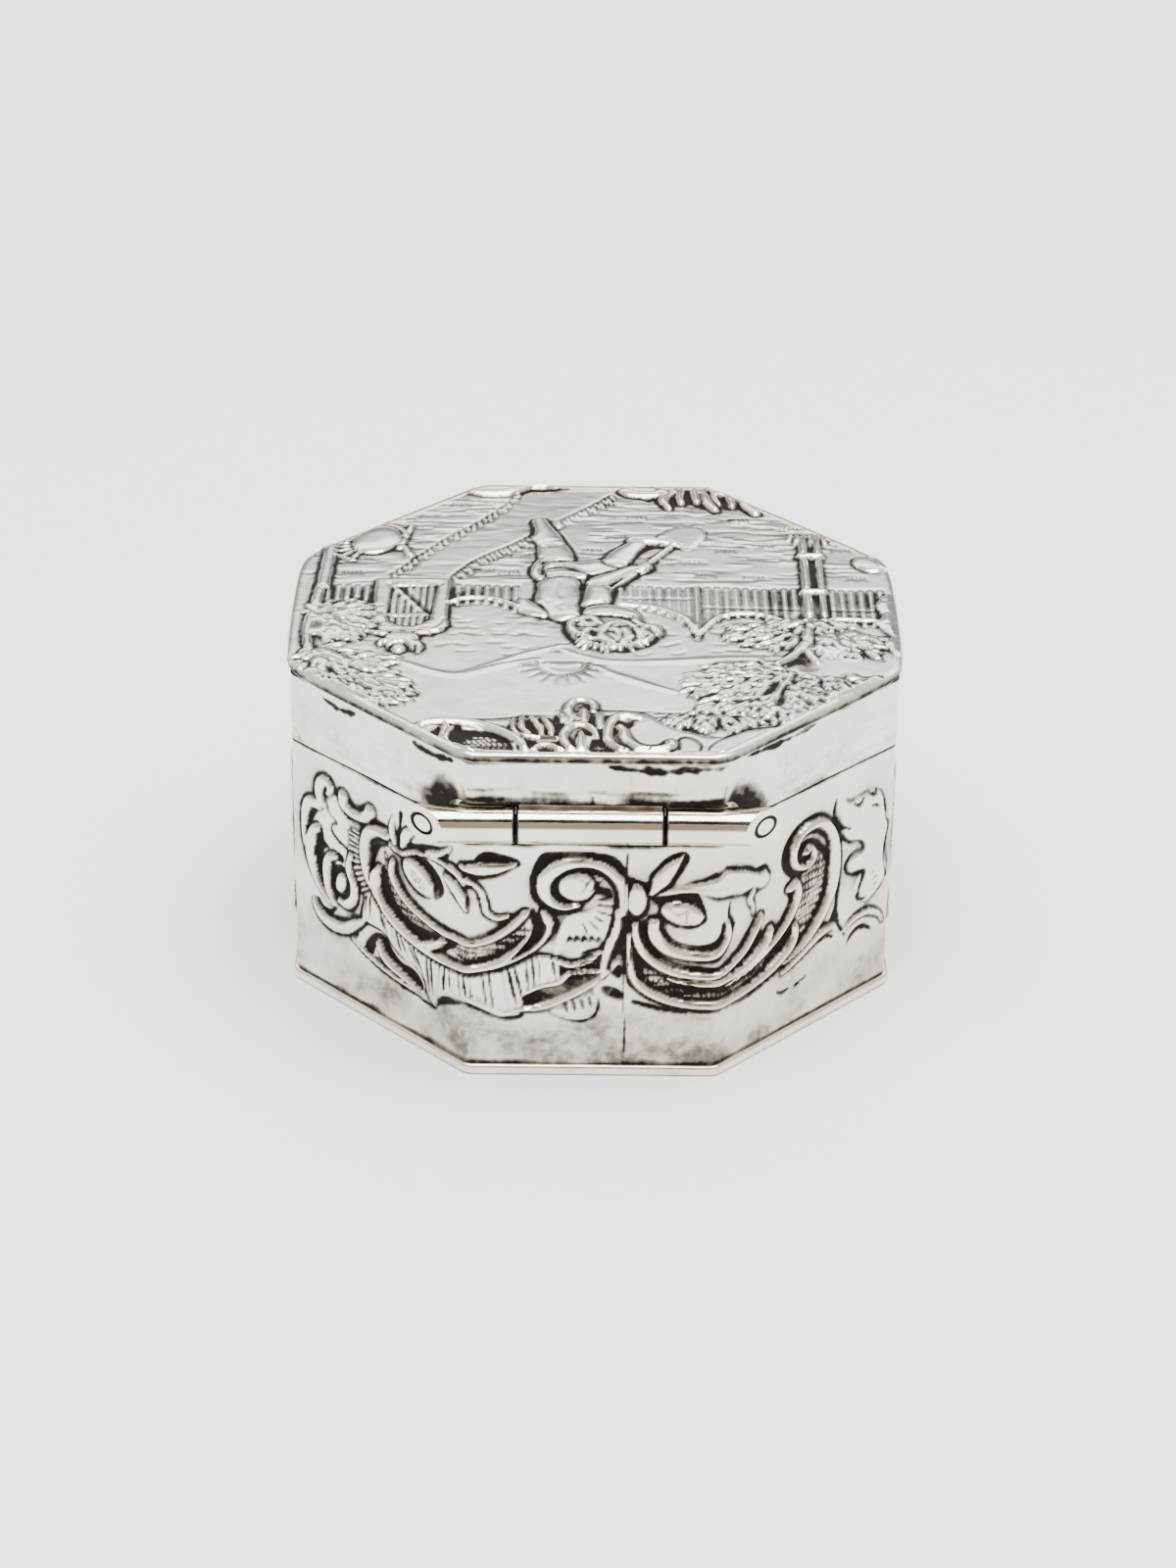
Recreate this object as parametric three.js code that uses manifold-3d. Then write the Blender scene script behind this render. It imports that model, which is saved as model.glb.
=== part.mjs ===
// Octagonal pill box in sheet silver: an eight-walled box, a lid that fits down over an inner lip,
// and a three-knuckle tube hinge that lies along the top edge of the back wall.
// Millimetres, +Z up. The box stands on z = 0, centred on the Z axis, with its hinge on the -Y side.

import * as THREE from "three";
import { mergeVertices } from "three/addons/utils/BufferGeometryUtils.js";
import Module from "manifold-3d";

const wasm = await Module();
wasm.setup();

// Box: the octagon of the walls, measured outside, and its sheet
const width = 38;
const cornerCut = 11.29;
const cornerRound = 0.8;
const wallSheet = 0.5;
const seamHeight = 17.45;

// Foot plate: how far its rounded edge stands out past the walls, and how thick it is
const footSpread = 0.28;
const footThickness = 0.7;

// Lid: from the seam to the top of its rim, its overhang, its sheet and its crown
const lidDepth = 5.3;
const rimSpread = 0.47;
const rimThickness = 0.8;
const lidSheet = 0.55;
const lidCrown = 0.12;
const rimCorner = 1.1;
const seamGap = 0.1;

// Inner lip that the lid closes over
const lipSheet = 0.35;
const lipRise = 1.75;
const lipDepth = 2.2;
const lipBevel = 0.15;
const lidPlay = 0.3;
const lipEndGap = 0.6;

// Hinge: tube, pin and the bearer strips behind the tube
const tubeDiameter = 2.36;
const pinDiameter = 1.14;
const pinPlay = 0.05;
const axisRise = 0.35;
const middleLength = 8.9;
const middleShift = -0.2;
const knuckleGap = 0.3;
const knuckleChamfer = 0.1;
const mitreStand = 1.89;
const swingGap = 0.3;
const solderGap = 0.1;
const bearerBacking = 0.6;
const bearerFace = 2.2;
const bearerSlope = 1.3;
const bearerSeamGap = 0.05;

// Thumbpiece: a half-round lug on the front of the lid, opposite the hinge
const thumbWidth = 8;
const thumbReach = 1.3;
const thumbThickness = 1;
const thumbRise = 0.5;
const thumbBevel = 0.2;

// Chased relief: how far its forms stand out of the sheet, and how deep they are rooted in it
const wallRise = 0.34;
const lidRise = 0.24;
const figureRise = 0.36;
const reliefRoot = 0.12;
const reliefEdge = 0.4;
const broadRidge = 0.62;

// Panels that the relief was drawn for; its places follow the walls and the lid when those change
const drawnFlat = 15.42;
const drawnSlant = 15.97;
const drawnFoot = 0.7;
const drawnSeam = 17.45;
const drawnWidth = 38;

// Facet counts
const reliefTurn = 36;
const bossSides = 7;
const facetMerge = 0.02;
const cornerSteps = 3;
const crownSteps = 5;
const edgeSteps = 4;
const tubeSides = 32;

// Derived places
const turn = Math.PI / 4;
const rimTop = seamHeight + lidDepth;
const rimUnder = rimTop - rimThickness;
const lidBottom = seamHeight + seamGap;
const hingeAxis = new THREE.Vector3(0, -width / 2, seamHeight + axisRise);
const tubeRadius = tubeDiameter / 2;
const boreRadius = (pinDiameter / 2 + pinPlay) / Math.cos(Math.PI / tubeSides);
const middleStart = middleShift - middleLength / 2;
const middleEnd = middleShift + middleLength / 2;
const bearerInner = hingeAxis.y + tubeRadius + swingGap + bearerBacking;
const farReach = width;

const silver = { color: 0xd9d7d2, metalness: 1, roughness: 0.25 };
const paleSilver = { color: 0xe4e2dd, metalness: 1, roughness: 0.18 };
const insideSilver = { color: 0xc9c4b6, metalness: 1, roughness: 0.35 };
const steel = { color: 0x9c9a96, metalness: 1, roughness: 0.4 };

// Distance from the Z axis to a wall: the even ones face X and Y, the odd ones slant between them
function wallDistance(wall) {
  return wall % 2 === 0 ? width / 2 : (width - cornerCut) / Math.SQRT2;
}

// Where a wall and the next one meet, on an octagon that lies "offset" outside the walls
function cornerPoint(wall, offset) {
  const a = wall * turn;
  const b = a + turn;
  const first = wallDistance(wall) + offset;
  const second = wallDistance(wall + 1) + offset;
  return new THREE.Vector2(
    (first * Math.sin(b) - second * Math.sin(a)) / Math.sin(turn),
    (second * Math.cos(a) - first * Math.cos(b)) / Math.sin(turn),
  );
}

// Octagon with rounded corners that share their centres at every offset
function octagonLoop(offset, corner = cornerRound) {
  const round = Math.max(corner + offset, wallSheet / 2);
  const loop = [];
  for (let wall = 0; wall < 8; wall += 1) {
    const centre = cornerPoint(wall, offset - round);
    for (let step = 0; step <= cornerSteps; step += 1) {
      const angle = (wall + step / cornerSteps) * turn;
      loop.push(new THREE.Vector2(Math.cos(angle), Math.sin(angle)).multiplyScalar(round).add(centre));
    }
  }
  return loop;
}

// Solid through a stack of octagons, from the bottom up: capped, or closed round an opening.
// A level may be drawn smaller than its offset alone would make it.
function octagonStack(levels, open = false) {
  const loops = levels.map(({ offset, corner, scale = 1 }) => (
    octagonLoop(offset, corner).map((p) => p.multiplyScalar(scale))
  ));
  const count = loops[0].length;
  const positions = loops.flatMap((loop, row) => loop.flatMap((p) => [p.x, p.y, levels[row].z]));
  const index = [];
  const bands = open ? loops.length : loops.length - 1;
  for (let row = 0; row < bands; row += 1) {
    const above = (row + 1) % loops.length;
    for (let i = 0; i < count; i += 1) {
      const j = (i + 1) % count;
      index.push(row * count + i, row * count + j, above * count + j);
      index.push(row * count + i, above * count + j, above * count + i);
    }
  }
  if (!open) {
    const last = (loops.length - 1) * count;
    THREE.ShapeUtils.triangulateShape(loops[0], []).forEach(([a, b, c]) => index.push(a, c, b));
    THREE.ShapeUtils.triangulateShape(loops[loops.length - 1], [])
      .forEach(([a, b, c]) => index.push(last + a, last + b, last + c));
  }
  const geometry = new THREE.BufferGeometry();
  geometry.setAttribute("position", new THREE.Float32BufferAttribute(positions, 3));
  geometry.setIndex(index);
  return geometry;
}

// Manifold solids for the cuts and joins
function toSolid(source) {
  const bare = source.clone();
  bare.deleteAttribute("normal");
  bare.deleteAttribute("uv");
  const merged = mergeVertices(bare, 1e-4);
  return new wasm.Manifold(new wasm.Mesh({
    numProp: 3,
    vertProperties: new Float32Array(merged.attributes.position.array),
    triVerts: new Uint32Array(merged.index.array),
  }));
}

function toGeometry(solid) {
  const mesh = solid.getMesh();
  const geometry = new THREE.BufferGeometry();
  geometry.setAttribute("position", new THREE.Float32BufferAttribute(mesh.vertProperties, 3));
  geometry.setIndex([...mesh.triVerts]);
  return geometry;
}

function octagonPrism(offset, bottom, top) {
  return toSolid(octagonStack([{ offset, z: bottom }, { offset, z: top }]));
}

// Turns a shape made round +Y until it lies along the hinge's axis
function alongHinge(geometry) {
  return geometry.rotateZ(-Math.PI / 2).translate(0, hingeAxis.y, hingeAxis.z);
}

function hingeRod(radius, start, end) {
  const rod = new THREE.CylinderGeometry(radius, radius, end - start, tubeSides);
  return toSolid(alongHinge(rod.translate(0, (start + end) / 2, 0)));
}

// Ends cut at a slant, parallel to the slanting walls on either side of the hinge
function mitreEnds(solid, clearance = 0) {
  return solid.intersect(octagonPrism(mitreStand + clearance, -farReach, farReach));
}

function knuckle(start, end) {
  const profile = [
    [boreRadius, start],
    [tubeRadius - knuckleChamfer, start],
    [tubeRadius, start + knuckleChamfer],
    [tubeRadius, end - knuckleChamfer],
    [tubeRadius - knuckleChamfer, end],
    [boreRadius, end],
    [boreRadius, start],
  ].map(([radius, along]) => new THREE.Vector2(radius, along));
  return mitreEnds(toSolid(alongHinge(new THREE.LatheGeometry(profile, tubeSides))));
}

// Room for the hinge tube in a sheet: close round the knuckles it carries, wider round the others
function hingeRoom(carriesMiddle) {
  const own = tubeRadius / Math.cos(Math.PI / tubeSides) + solderGap;
  const other = own - solderGap + swingGap;
  const middle = hingeRod(carriesMiddle ? own : other, middleStart - knuckleGap, middleEnd + knuckleGap);
  const outer = carriesMiddle ? other : own;
  const left = hingeRod(outer, -farReach, middleStart - knuckleGap);
  const right = hingeRod(outer, middleEnd + knuckleGap, farReach);
  return mitreEnds(left.add(middle).add(right), carriesMiddle ? swingGap : solderGap);
}

const boxRoom = hingeRoom(false);
const lidRoom = hingeRoom(true);

// Wall length that the relief was drawn for
function drawnLength(wall) {
  return wall % 2 === 0 ? drawnFlat : drawnSlant;
}

// Which wall a distance along them comes to, from the left corner of the hinge's wall, and how far on it
function wallAt(along) {
  let wall = 6;
  let rest = along;
  for (; rest < 0; wall -= 1) rest += drawnLength(wall - 1);
  for (; rest > drawnLength(wall); wall += 1) rest -= drawnLength(wall);
  return { wall, share: rest / drawnLength(wall) };
}

// Place on the walls, "out" of their faces
function onWalls(along, up, out) {
  const { wall, share: across } = wallAt(along);
  const p = cornerPoint(wall - 1, out).lerp(cornerPoint(wall, out), across);
  const share = (up - drawnFoot) / (drawnSeam - drawnFoot);
  return [p.x, p.y, footThickness + share * (seamHeight - footThickness)];
}

// Place on the lid, for the picture held upright: its foot is then at the front
function onLid(across, up, out) {
  const x = (-across * width) / drawnWidth;
  const y = (-up * width) / drawnWidth;
  let share = 0;
  for (let wall = 0; wall < 8; wall += 1) {
    share = Math.max(share, (x * Math.cos(wall * turn) + y * Math.sin(wall * turn)) / wallDistance(wall));
  }
  return [x, y, rimTop + lidCrown * (1 - Math.min(share, 1) ** 2) + out];
}

function indexedSolid(positions, index) {
  const geometry = new THREE.BufferGeometry();
  geometry.setAttribute("position", new THREE.Float32BufferAttribute(positions, 3));
  geometry.setIndex(index);
  return toSolid(geometry);
}

// Where a line's facets end: after each turn of some degrees, and where it comes to a corner of the box
function stations(line, place, widths) {
  const fine = 180;
  const straight = Math.abs(widths[0] + widths[2] - 2 * widths[1]) < 1e-6;
  const stops = straight ? [0] : [0, fine / 2];
  let facing = line.getTangentAt(0);
  for (let i = 1; i < fine; i += 1) {
    const along = line.getTangentAt(i / fine);
    const corner = place === onWalls
      && wallAt(line.getPointAt(i / fine).x).wall !== wallAt(line.getPointAt((i - 1) / fine).x).wall;
    if (corner || facing.angleTo(along) > THREE.MathUtils.degToRad(reliefTurn)) {
      stops.push(i);
      facing = along;
    }
  }
  return [...stops, fine].sort((a, b) => a - b)
    .filter((stop, i, all) => i === 0 || stop === fine || (stop - all[i - 1] > 4 && fine - stop > 4))
    .map((stop) => stop / fine);
}

// Ridge along a line, rooted in the sheet: flat-topped where it is broad, and a plain roof where it
// is narrow. Its widths are those at the start, middle and end
function ridge(place, line, widths, rise) {
  const stops = stations(line, place, widths);
  const top = Math.max(...widths) > broadRidge ? [[-0.5, rise], [0.5, rise]] : [[0, rise]];
  const section = [[-1, -reliefRoot], ...top, [1, -reliefRoot]];
  const sides = section.length;
  const positions = [];
  const index = [];
  stops.forEach((stop, i) => {
    const p = line.getPointAt(stop);
    const along = line.getTangentAt(stop);
    const share = 2 * stop;
    const [from, to] = share < 1 ? widths : widths.slice(1);
    const half = THREE.MathUtils.lerp(from, to, share < 1 ? share : share - 1) / 2;
    section.forEach(([side, out]) => positions.push(
      ...place(p.x - along.y * half * side, p.y + along.x * half * side, out)));
    for (let k = 0; k < sides && i < stops.length - 1; k += 1) {
      const [a, b] = [sides * i + k, sides * i + ((k + 1) % sides)];
      index.push(b, a, a + sides, b, a + sides, b + sides);
    }
  });
  const last = sides * (stops.length - 1);
  for (let k = 2; k < sides; k += 1) index.push(0, k - 1, k, last, last + k, last + k - 1);
  return indexedSolid(positions, index);
}

// Domed boss with an oval outline
function boss(place, x, y, radiusX, radiusY, rise, tilt = 0) {
  const positions = [];
  const index = [];
  [[1, -reliefRoot], [0.66, 0.78 * rise]].forEach(([scale, out]) => {
    for (let i = 0; i < bossSides; i += 1) {
      const angle = (2 * Math.PI * i) / bossSides;
      const p = new THREE.Vector2(scale * radiusX * Math.cos(angle), scale * radiusY * Math.sin(angle));
      p.rotateAround(new THREE.Vector2(), THREE.MathUtils.degToRad(tilt));
      positions.push(...place(x + p.x, y + p.y, out));
    }
  });
  positions.push(...place(x, y, rise));
  for (let i = 0; i < bossSides; i += 1) {
    const j = (i + 1) % bossSides;
    index.push(i, j, bossSides + j, i, bossSides + j, bossSides + i);
    index.push(bossSides + i, bossSides + j, 2 * bossSides);
    if (i > 1) index.push(0, i, i - 1);
  }
  return indexedSolid(positions, index);
}

// Lines of the ornament: part of an oval in degrees, a bowed stroke and a volute
function arc(x, y, radiusX, radiusY, from, to) {
  const [start, end] = [from, to].map(THREE.MathUtils.degToRad);
  return new THREE.EllipseCurve(x, y, radiusX, radiusY, start, end, from > to);
}

function bow(x0, y0, x1, y1, bend = 0) {
  const middle = new THREE.Vector2(
    (x0 + x1) / 2 - 2 * bend * (y1 - y0) / Math.hypot(x1 - x0, y1 - y0),
    (y0 + y1) / 2 + 2 * bend * (x1 - x0) / Math.hypot(x1 - x0, y1 - y0));
  return new THREE.QuadraticBezierCurve(new THREE.Vector2(x0, y0), middle, new THREE.Vector2(x1, y1));
}

class Volute extends THREE.Curve {
  constructor(x, y, outer, inner, start, sweep) {
    super();
    Object.assign(this, { x, y, outer, inner, start, sweep });
  }

  getPoint(t, target = new THREE.Vector2()) {
    const angle = THREE.MathUtils.degToRad(this.start + t * this.sweep);
    const radius = this.outer + (this.inner - this.outer) * t ** 0.8;
    return target.set(this.x + radius * Math.cos(angle), this.y + radius * Math.sin(angle));
  }
}

// Scrollwork round the hinge, which the opposite walls repeat
function hingeScrolls() {
  const left = -drawnSlant;
  const right = drawnFlat;
  const forms = [
    // Oval C scroll, with a smaller one inside it, from the left wall to the hinge's
    [arc(left + 13.9, 12.1, 7.05, 4.7, 152, 352), [0.6, 0.7, 0.9]],
    [arc(left + 14.5, 12.2, 5.2, 2.8, 178, 350), [0.4, 0.5, 0.5]],
    // Flame leaves and hooks at its back
    [arc(left + 4.6, 10.4, 3.5, 4.4, 134, 240), [0.8, 0.45, 0.2]],
    [arc(left + 4.6, 10.0, 2.9, 3.6, 143, 235), [0.6, 0.9, 0.2]],
    [bow(left + 3.9, 10.6, left + 3.9, 7, 0.4), [0.5, 0.7, 0.2]],
    [arc(left + 3.4, 14.8, 0.8, 0.95, 230, 70), [0.4, 0.8, 0.5]],
    [arc(left + 6.1, 15.4, 1.3, 1, 185, 355), [0.8, 0.7, 0.8]],
    [arc(left + 3.9, 8.2, 2.8, 2.6, 220, 325), [0.4, 1, 0.3]],
    // Sprig
    [bow(left + 9.4, 13.5, left + 15.6, 13.6, 0.35), [0.3, 0.3, 0.25]],
    [bow(left + 14.2, 13.3, left + 15.9, 11.6, 0.1), [0.4, 1, 0.1]],
    [bow(left + 15.6, 14.7, left + 19, 15, -0.1), [0.4, 0.95, 0.1]],
    // Volute in the middle of the hinge's wall, and the edges of its shell
    [arc(7.2, 13.4, 2.45, 1.8, -40, 248), [0.4, 0.65, 0.9]],
    [bow(9.3, 11.8, 8.4, 7.4, -0.2), [0.4, 0.6, 0.3]],
    [bow(3.4, 4.7, 8.7, 7.5, -0.35), [0.3, 0.45, 0.2]],
    // Leaves beyond it
    [bow(11.3, 13.1, 13.2, 15.8, 0.05), [0.4, 1.15, 0.1]],
    [bow(11.5, 12.9, right + 4.4, 12.6, 0.7), [0.3, 1.5, 0.9]],
    // C scrolls that come round the corner, one inside the other
    [arc(15.1, 11.2, 3.55, 2.6, 182, 358), [0.7, 0.7, 0.3]],
    [arc(15, 11, 4.6, 3.75, 182, 346), [0.4, 0.5, 0.5]],
    [arc(15.2, 10.6, 5.1, 3.95, 240, 336), [0.2, 0.5, 0.7]],
    [arc(16.2, 10.4, 6.3, 5.25, 182, 332), [0.3, 0.6, 0.7]],
    // Great volute on its long arm
    [bow(right + 6, 5.6, right + 10.5, 11.4, -0.75), [0.2, 0.8, 0.85]],
    [new Volute(right + 7.9, 12.7, 2.65, 0.5, -32, 385), [0.85, 0.75, 0.35]],
    [bow(right + 6, 4.9, right + 11, 6, 0.45), [0.3, 0.7, 0.3]],
    [arc(right + 13.5, 4.4, 2, 1.7, 145, 20), [0.2, 0.5, 0.2]],
  ];
  // Fluted strip below the oval scroll
  for (let flute = 0; flute < 9; flute += 1) {
    const along = left + 8.2 + 1.5 * flute;
    const top = 7.2 - 0.5 * Math.sin((Math.PI * flute) / 8) + 0.08 * flute;
    forms.push([bow(along, top, along + 0.2, top - 1.6), [1, 0.8, 0.6], 0.5]);
  }
  // Fan inside the middle volute's arm
  for (let ray = 0; ray < 3; ray += 1) {
    const angle = THREE.MathUtils.degToRad(-12 - 30 * ray);
    const [x, y] = [Math.cos(angle), Math.sin(angle)];
    forms.push([bow(6.2 + 0.8 * x, 11 + 0.8 * y, 6.2 + 2.2 * x, 11 + 2.2 * y), [0.3, 0.5, 0.7], 0.4]);
  }
  const bosses = [
    [left + 11.7, 12.3, 1.4, 0.9, -28], [left + 4.4, 8.9, 0.5, 0.7, 0], [6.7, 13.5, 1.1, 1, 0],
    [6.7, 4.95, 1.35, 0.9, 10], [10.4, 12.6, 0.6, 1.1, 0], [13.2, 11.65, 1.3, 0.8, -16],
    [right + 13.4, 13, 1.5, 1.7, 0], [right + 14.1, 9.9, 1.1, 1.5, 0], [right + 14.2, 7.8, 0.8, 0.7, 0],
  ];
  return [
    ...forms.map(([line, widths, share = 1]) => ridge(onWalls, line, widths, wallRise * share)),
    ...bosses.map(([x, y, radiusX, radiusY, tilt]) => (
      boss(onWalls, x, y, radiusX, radiusY, 0.8 * wallRise, tilt))),
  ];
}

// Side wall: a shell between two C scrolls that face each other
function sideScrolls() {
  const middle = drawnFlat + drawnSlant + drawnFlat / 2;
  const forms = [[bow(middle - 3, 3.9, middle + 3, 3.9, 0.5), [0.2, 0.6, 0.2]]];
  [-1, 1].forEach((side) => {
    const across = (x) => middle + side * x;
    const mirrored = (angle) => (side > 0 ? angle : 180 - angle);
    forms.push(
      [arc(across(1.6), 10.1, 4.75, 4.7, mirrored(-82), mirrored(38)), [0.3, 0.8, 0.85]],
      [new Volute(across(3.7), 12.9, 1.95, 0.5, mirrored(30), side * 330), [0.85, 0.7, 0.35]],
      [arc(across(1.2), 9.2, 1.9, 1.8, mirrored(-75), mirrored(75)), [0.2, 0.5, 0.3]],
      [bow(across(5.6), 6.4, across(7.2), 4.7, 0.2 * side), [0.3, 0.8, 0.1]],
      [bow(across(4.2), 5.8, across(5), 3.8, 0.2 * side), [0.3, 0.7, 0.1]],
    );
  });
  for (let rib = -2; rib <= 2; rib += 1) {
    const angle = THREE.MathUtils.degToRad(90 + 30 * rib);
    const [x, y] = [Math.cos(angle), Math.sin(angle)];
    const stroke = bow(middle + 0.5 * x, 8.2 + 0.5 * y, middle + 3.3 * x, 8.2 + 3.3 * y);
    forms.push([stroke, [0.3, 0.6, 0.9], 0.8]);
  }
  return [
    ...forms.map(([line, widths, share = 1]) => ridge(onWalls, line, widths, wallRise * share)),
    boss(onWalls, middle, 8.2, 0.8, 0.7, wallRise),
  ];
}

// Crown of a tree: leaves set round its middle like a sunflower's seeds, the outer ones lower
function foliage(x, y, radiusX, radiusY, leaves) {
  return Array.from({ length: leaves }, (_, leaf) => {
    const angle = leaf * Math.PI * (3 - Math.sqrt(5));
    const share = Math.sqrt((leaf + 0.5) / leaves);
    const [a, b] = [Math.cos(angle), Math.sin(angle)];
    const [from, to] = [share * 0.95, share * 0.95 + 1.6 / Math.hypot(radiusX * a, radiusY * b)];
    return ridge(onLid, bow(x + from * radiusX * a, y + from * radiusY * b, x + to * radiusX * a,
      y + to * radiusY * b, 0.1), [0.5, 1, 0.1], lidRise * (1 - 0.45 * share));
  });
}

// Garden on the lid: fence and gate, a path, trees, and a figure that leans on a spade
function garden() {
  const forms = [
    // Path
    [bow(9.2, -4.9, -1.4, -18, 0.5), [0.5, 0.6, 0.5], 0.5],
    [bow(13.1, -5.2, 5.2, -18.2, 0.7), [0.5, 0.6, 0.5], 0.5],
    // Gate
    [arc(11.8, 0.9, 1.9, 1.95, 0, 180), [0.7, 0.7, 0.7], 0.9],
    [bow(9.9, 1.4, 9.9, -4.3), [0.65, 0.65, 0.65], 0.84],
    [bow(13.7, 1.4, 13.7, -4.3), [0.65, 0.65, 0.65], 0.84],
    [bow(10.6, 0.8, 13, -3.4), [0.3, 0.3, 0.3], 0.6],
    [bow(11.8, 3.1, 11.8, 6), [0.4, 0.9, 0.1], 1],
    [bow(11.5, 3.2, 10.5, 5.2, -0.25), [0.4, 0.75, 0.1], 1],
    [bow(12.1, 3.2, 13.1, 5.2, 0.25), [0.4, 0.75, 0.1], 1],
    // Tall posts and trunks
    [bow(-14.65, -11.2, -14.65, 0.3), [0.45, 0.45, 0.45], 1],
    [bow(-13.7, -11.2, -13.7, 0.3), [0.55, 0.55, 0.55], 1],
    [bow(-15, -2.9, -13.25, -2.8), [0.6, 0.6, 0.6], 1.3],
    [bow(-15, -8.3, -13.25, -8.2), [0.6, 0.6, 0.6], 1.3],
    [bow(-13.5, 0.3, -13.2, 7.6, 0.15), [0.9, 0.7, 0.45], 1],
    [bow(-13.5, 4.3, -11.4, 7.2), [0.6, 0.5, 0.35], 1],
    [bow(17.5, 6.2, 17.6, -3.6, 0.2), [0.5, 0.7, 0.7], 0.9],
    [bow(17.5, -3.2, 17.2, -10.2), [0.8, 0.8, 0.8], 0.8],
    [bow(-6.5, -3.4, -6.5, 3.9), [0.35, 0.35, 0.2], 0.8],
    // Basket
    [bow(12.9, -9, 12.2, -12.6), [0.5, 0.4, 0.3], 0.8],
    // Scrollwork along the hinge's edge
    [arc(7.6, 18.4, 3.5, 3, 188, 318), [0.5, 0.75, 0.3], 1.2],
    [bow(4.6, 18.3, 11.2, 16.4, 0.5), [0.4, 0.6, 0.3], 1.2],
    [bow(8.2, 18, 10.2, 16.5, -0.2), [0.4, 0.7, 0.2], 1],
    [bow(3.9, 18.3, 3.3, 14.7, 0.35), [0.4, 0.9, 0.2], 1.2],
    [bow(2.8, 18.2, 2.4, 14.5, 0.3), [0.4, 0.9, 0.2], 1.1],
    [bow(-1.4, 18.3, -2.2, 14.9, 0.3), [0.6, 1.1, 0.2], 1.2],
    [bow(-0.3, 18.2, -0.6, 15, 0.3), [0.4, 0.9, 0.2], 1.1],
    [new Volute(0.7, 17, 1.4, 0.45, 120, -300), [0.6, 0.8, 0.3], 1.2],
    [new Volute(0.8, 14, 1.3, 0.45, 100, -250), [0.7, 0.8, 0.3], 1.2],
    [arc(-5.4, 18.1, 1.3, 1.2, 190, 345), [0.7, 0.85, 0.4], 1.2],
    [arc(-3.7, 16.9, 1.35, 1.7, 110, -90), [0.5, 0.9, 0.4], 1.2],
    [bow(-7.2, 18.2, -11.8, 15.5, 0.2), [0.8, 1.3, 0.2], 0.8],
    // Leaves along the edge opposite
    [bow(4.2, -18.2, 1.9, -18.3), [0.3, 0.7, 0.1], 1.2],
    [bow(4.4, -18.2, 9.2, -17.9, 0.15), [0.3, 0.8, 0.1], 1.2],
  ];
  // Palings of the fence, in four runs
  [[-17.4, 1.2, 6], [-5.4, 0.4, 3], [5.3, -0.8, 3], [15, -0.2, 2]].forEach(([start, top, count]) => {
    for (let paling = 0; paling < count; paling += 1) {
      const across = start + 1.8 * paling;
      forms.push([bow(across, -3.4, across, top + 0.2 * (paling % 2)), [0.5, 0.5, 0.5], 0.5]);
    }
  });
  // Curled fingers of the cloud on the far edge
  for (let finger = 0; finger < 5; finger += 1) {
    const across = -8.8 + finger;
    forms.push([bow(across, -18, across - 1.2 + 0.15 * finger, -15.4, -0.25), [0.5, 0.9, 0.6], 1.3]);
  }
  const crowns = [
    [-14.9, 10, 1, 0.9], [-10.6, 10.4, 4, 2.3, 17], [-9.3, 13.2, 2.8, 0.8, 6], [-6.4, 14.6, 2, 0.4, 3],
    [-15.2, 3.4, 1.8, 0.9, 5], [-11.3, 3, 2, 0.9, 5], [13.8, 11.3, 1.2, 1.2, 5], [15.6, 8.4, 1, 1.5, 5],
    [16, 1.8, 1, 1.4, 5],
  ];
  return [
    ...forms.map(([line, widths, share]) => ridge(onLid, line, widths, lidRise * share)),
    ...crowns.flatMap((crown) => foliage(...crown)),
    boss(onLid, 14.4, -10.3, 1.6, 2.1, lidRise * 1.3, -18),
    boss(onLid, -3.2, -17.6, 1.6, 0.7, lidRise * 1.3),
  ];
}

// Figure on the lid, seen from behind, with its spade and the cloth round its hips
function figure() {
  const limbs = [
    [bow(3.3, -5, 2.8, -9.4), [2.6, 2.7, 1.9]],
    [bow(2.8, -8.9, 3.5, -13), [1.8, 2.1, 1]],
    [bow(3.8, -12.8, 2.2, -13.3), [0.8, 1, 0.5]],
    [bow(2.6, -5.2, -1.1, -6.9, -0.15), [2.6, 2.7, 1.9]],
    [bow(-0.9, -6.7, -3, -10.3, -0.15), [1.8, 1.9, 1]],
    [bow(-2.7, -10.3, -4.4, -10.2, -0.1), [0.9, 1.1, 0.5]],
    [bow(1.8, 0.9, 2.4, -5.4), [2.6, 4.1, 3.4]],
    [bow(0.4, -0.6, -0.4, -3.5, -0.15), [1.6, 1.7, 1.3]],
    [bow(-0.4, -3.2, -2.9, -5.8, -0.1), [1.3, 1.3, 0.8]],
    [bow(4.2, -5, 5.4, -8.4, 0.1), [1.2, 1.3, 0.3]],
    [bow(-0.8, -2.6, -5.2, -9.7), [0.45, 0.45, 0.45]],
    [bow(2.8, 0.2, 5.3, -0.9, 0.3), [0.5, 1.1, 0.2]],
  ];
  const locks = Array.from({ length: 6 }, (_, lock) => {
    const angle = THREE.MathUtils.degToRad(-15 + 40 * lock);
    const [x, y] = [-0.9 + 2.2 * Math.cos(angle), 2.6 + 2.1 * Math.sin(angle)];
    return boss(onLid, x, y, 1, 1, 0.9 * figureRise);
  });
  return [
    ...limbs.map(([line, widths], i) => (
      ridge(onLid, line, widths, figureRise * (1 - 0.03 * (i % 4))))),
    boss(onLid, -1, 1.7, 2, 1.9, figureRise, -20),
    boss(onLid, -5.8, -11.1, 1.3, 1.7, 0.5 * figureRise, 20),
    ...locks,
  ];
}

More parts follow.
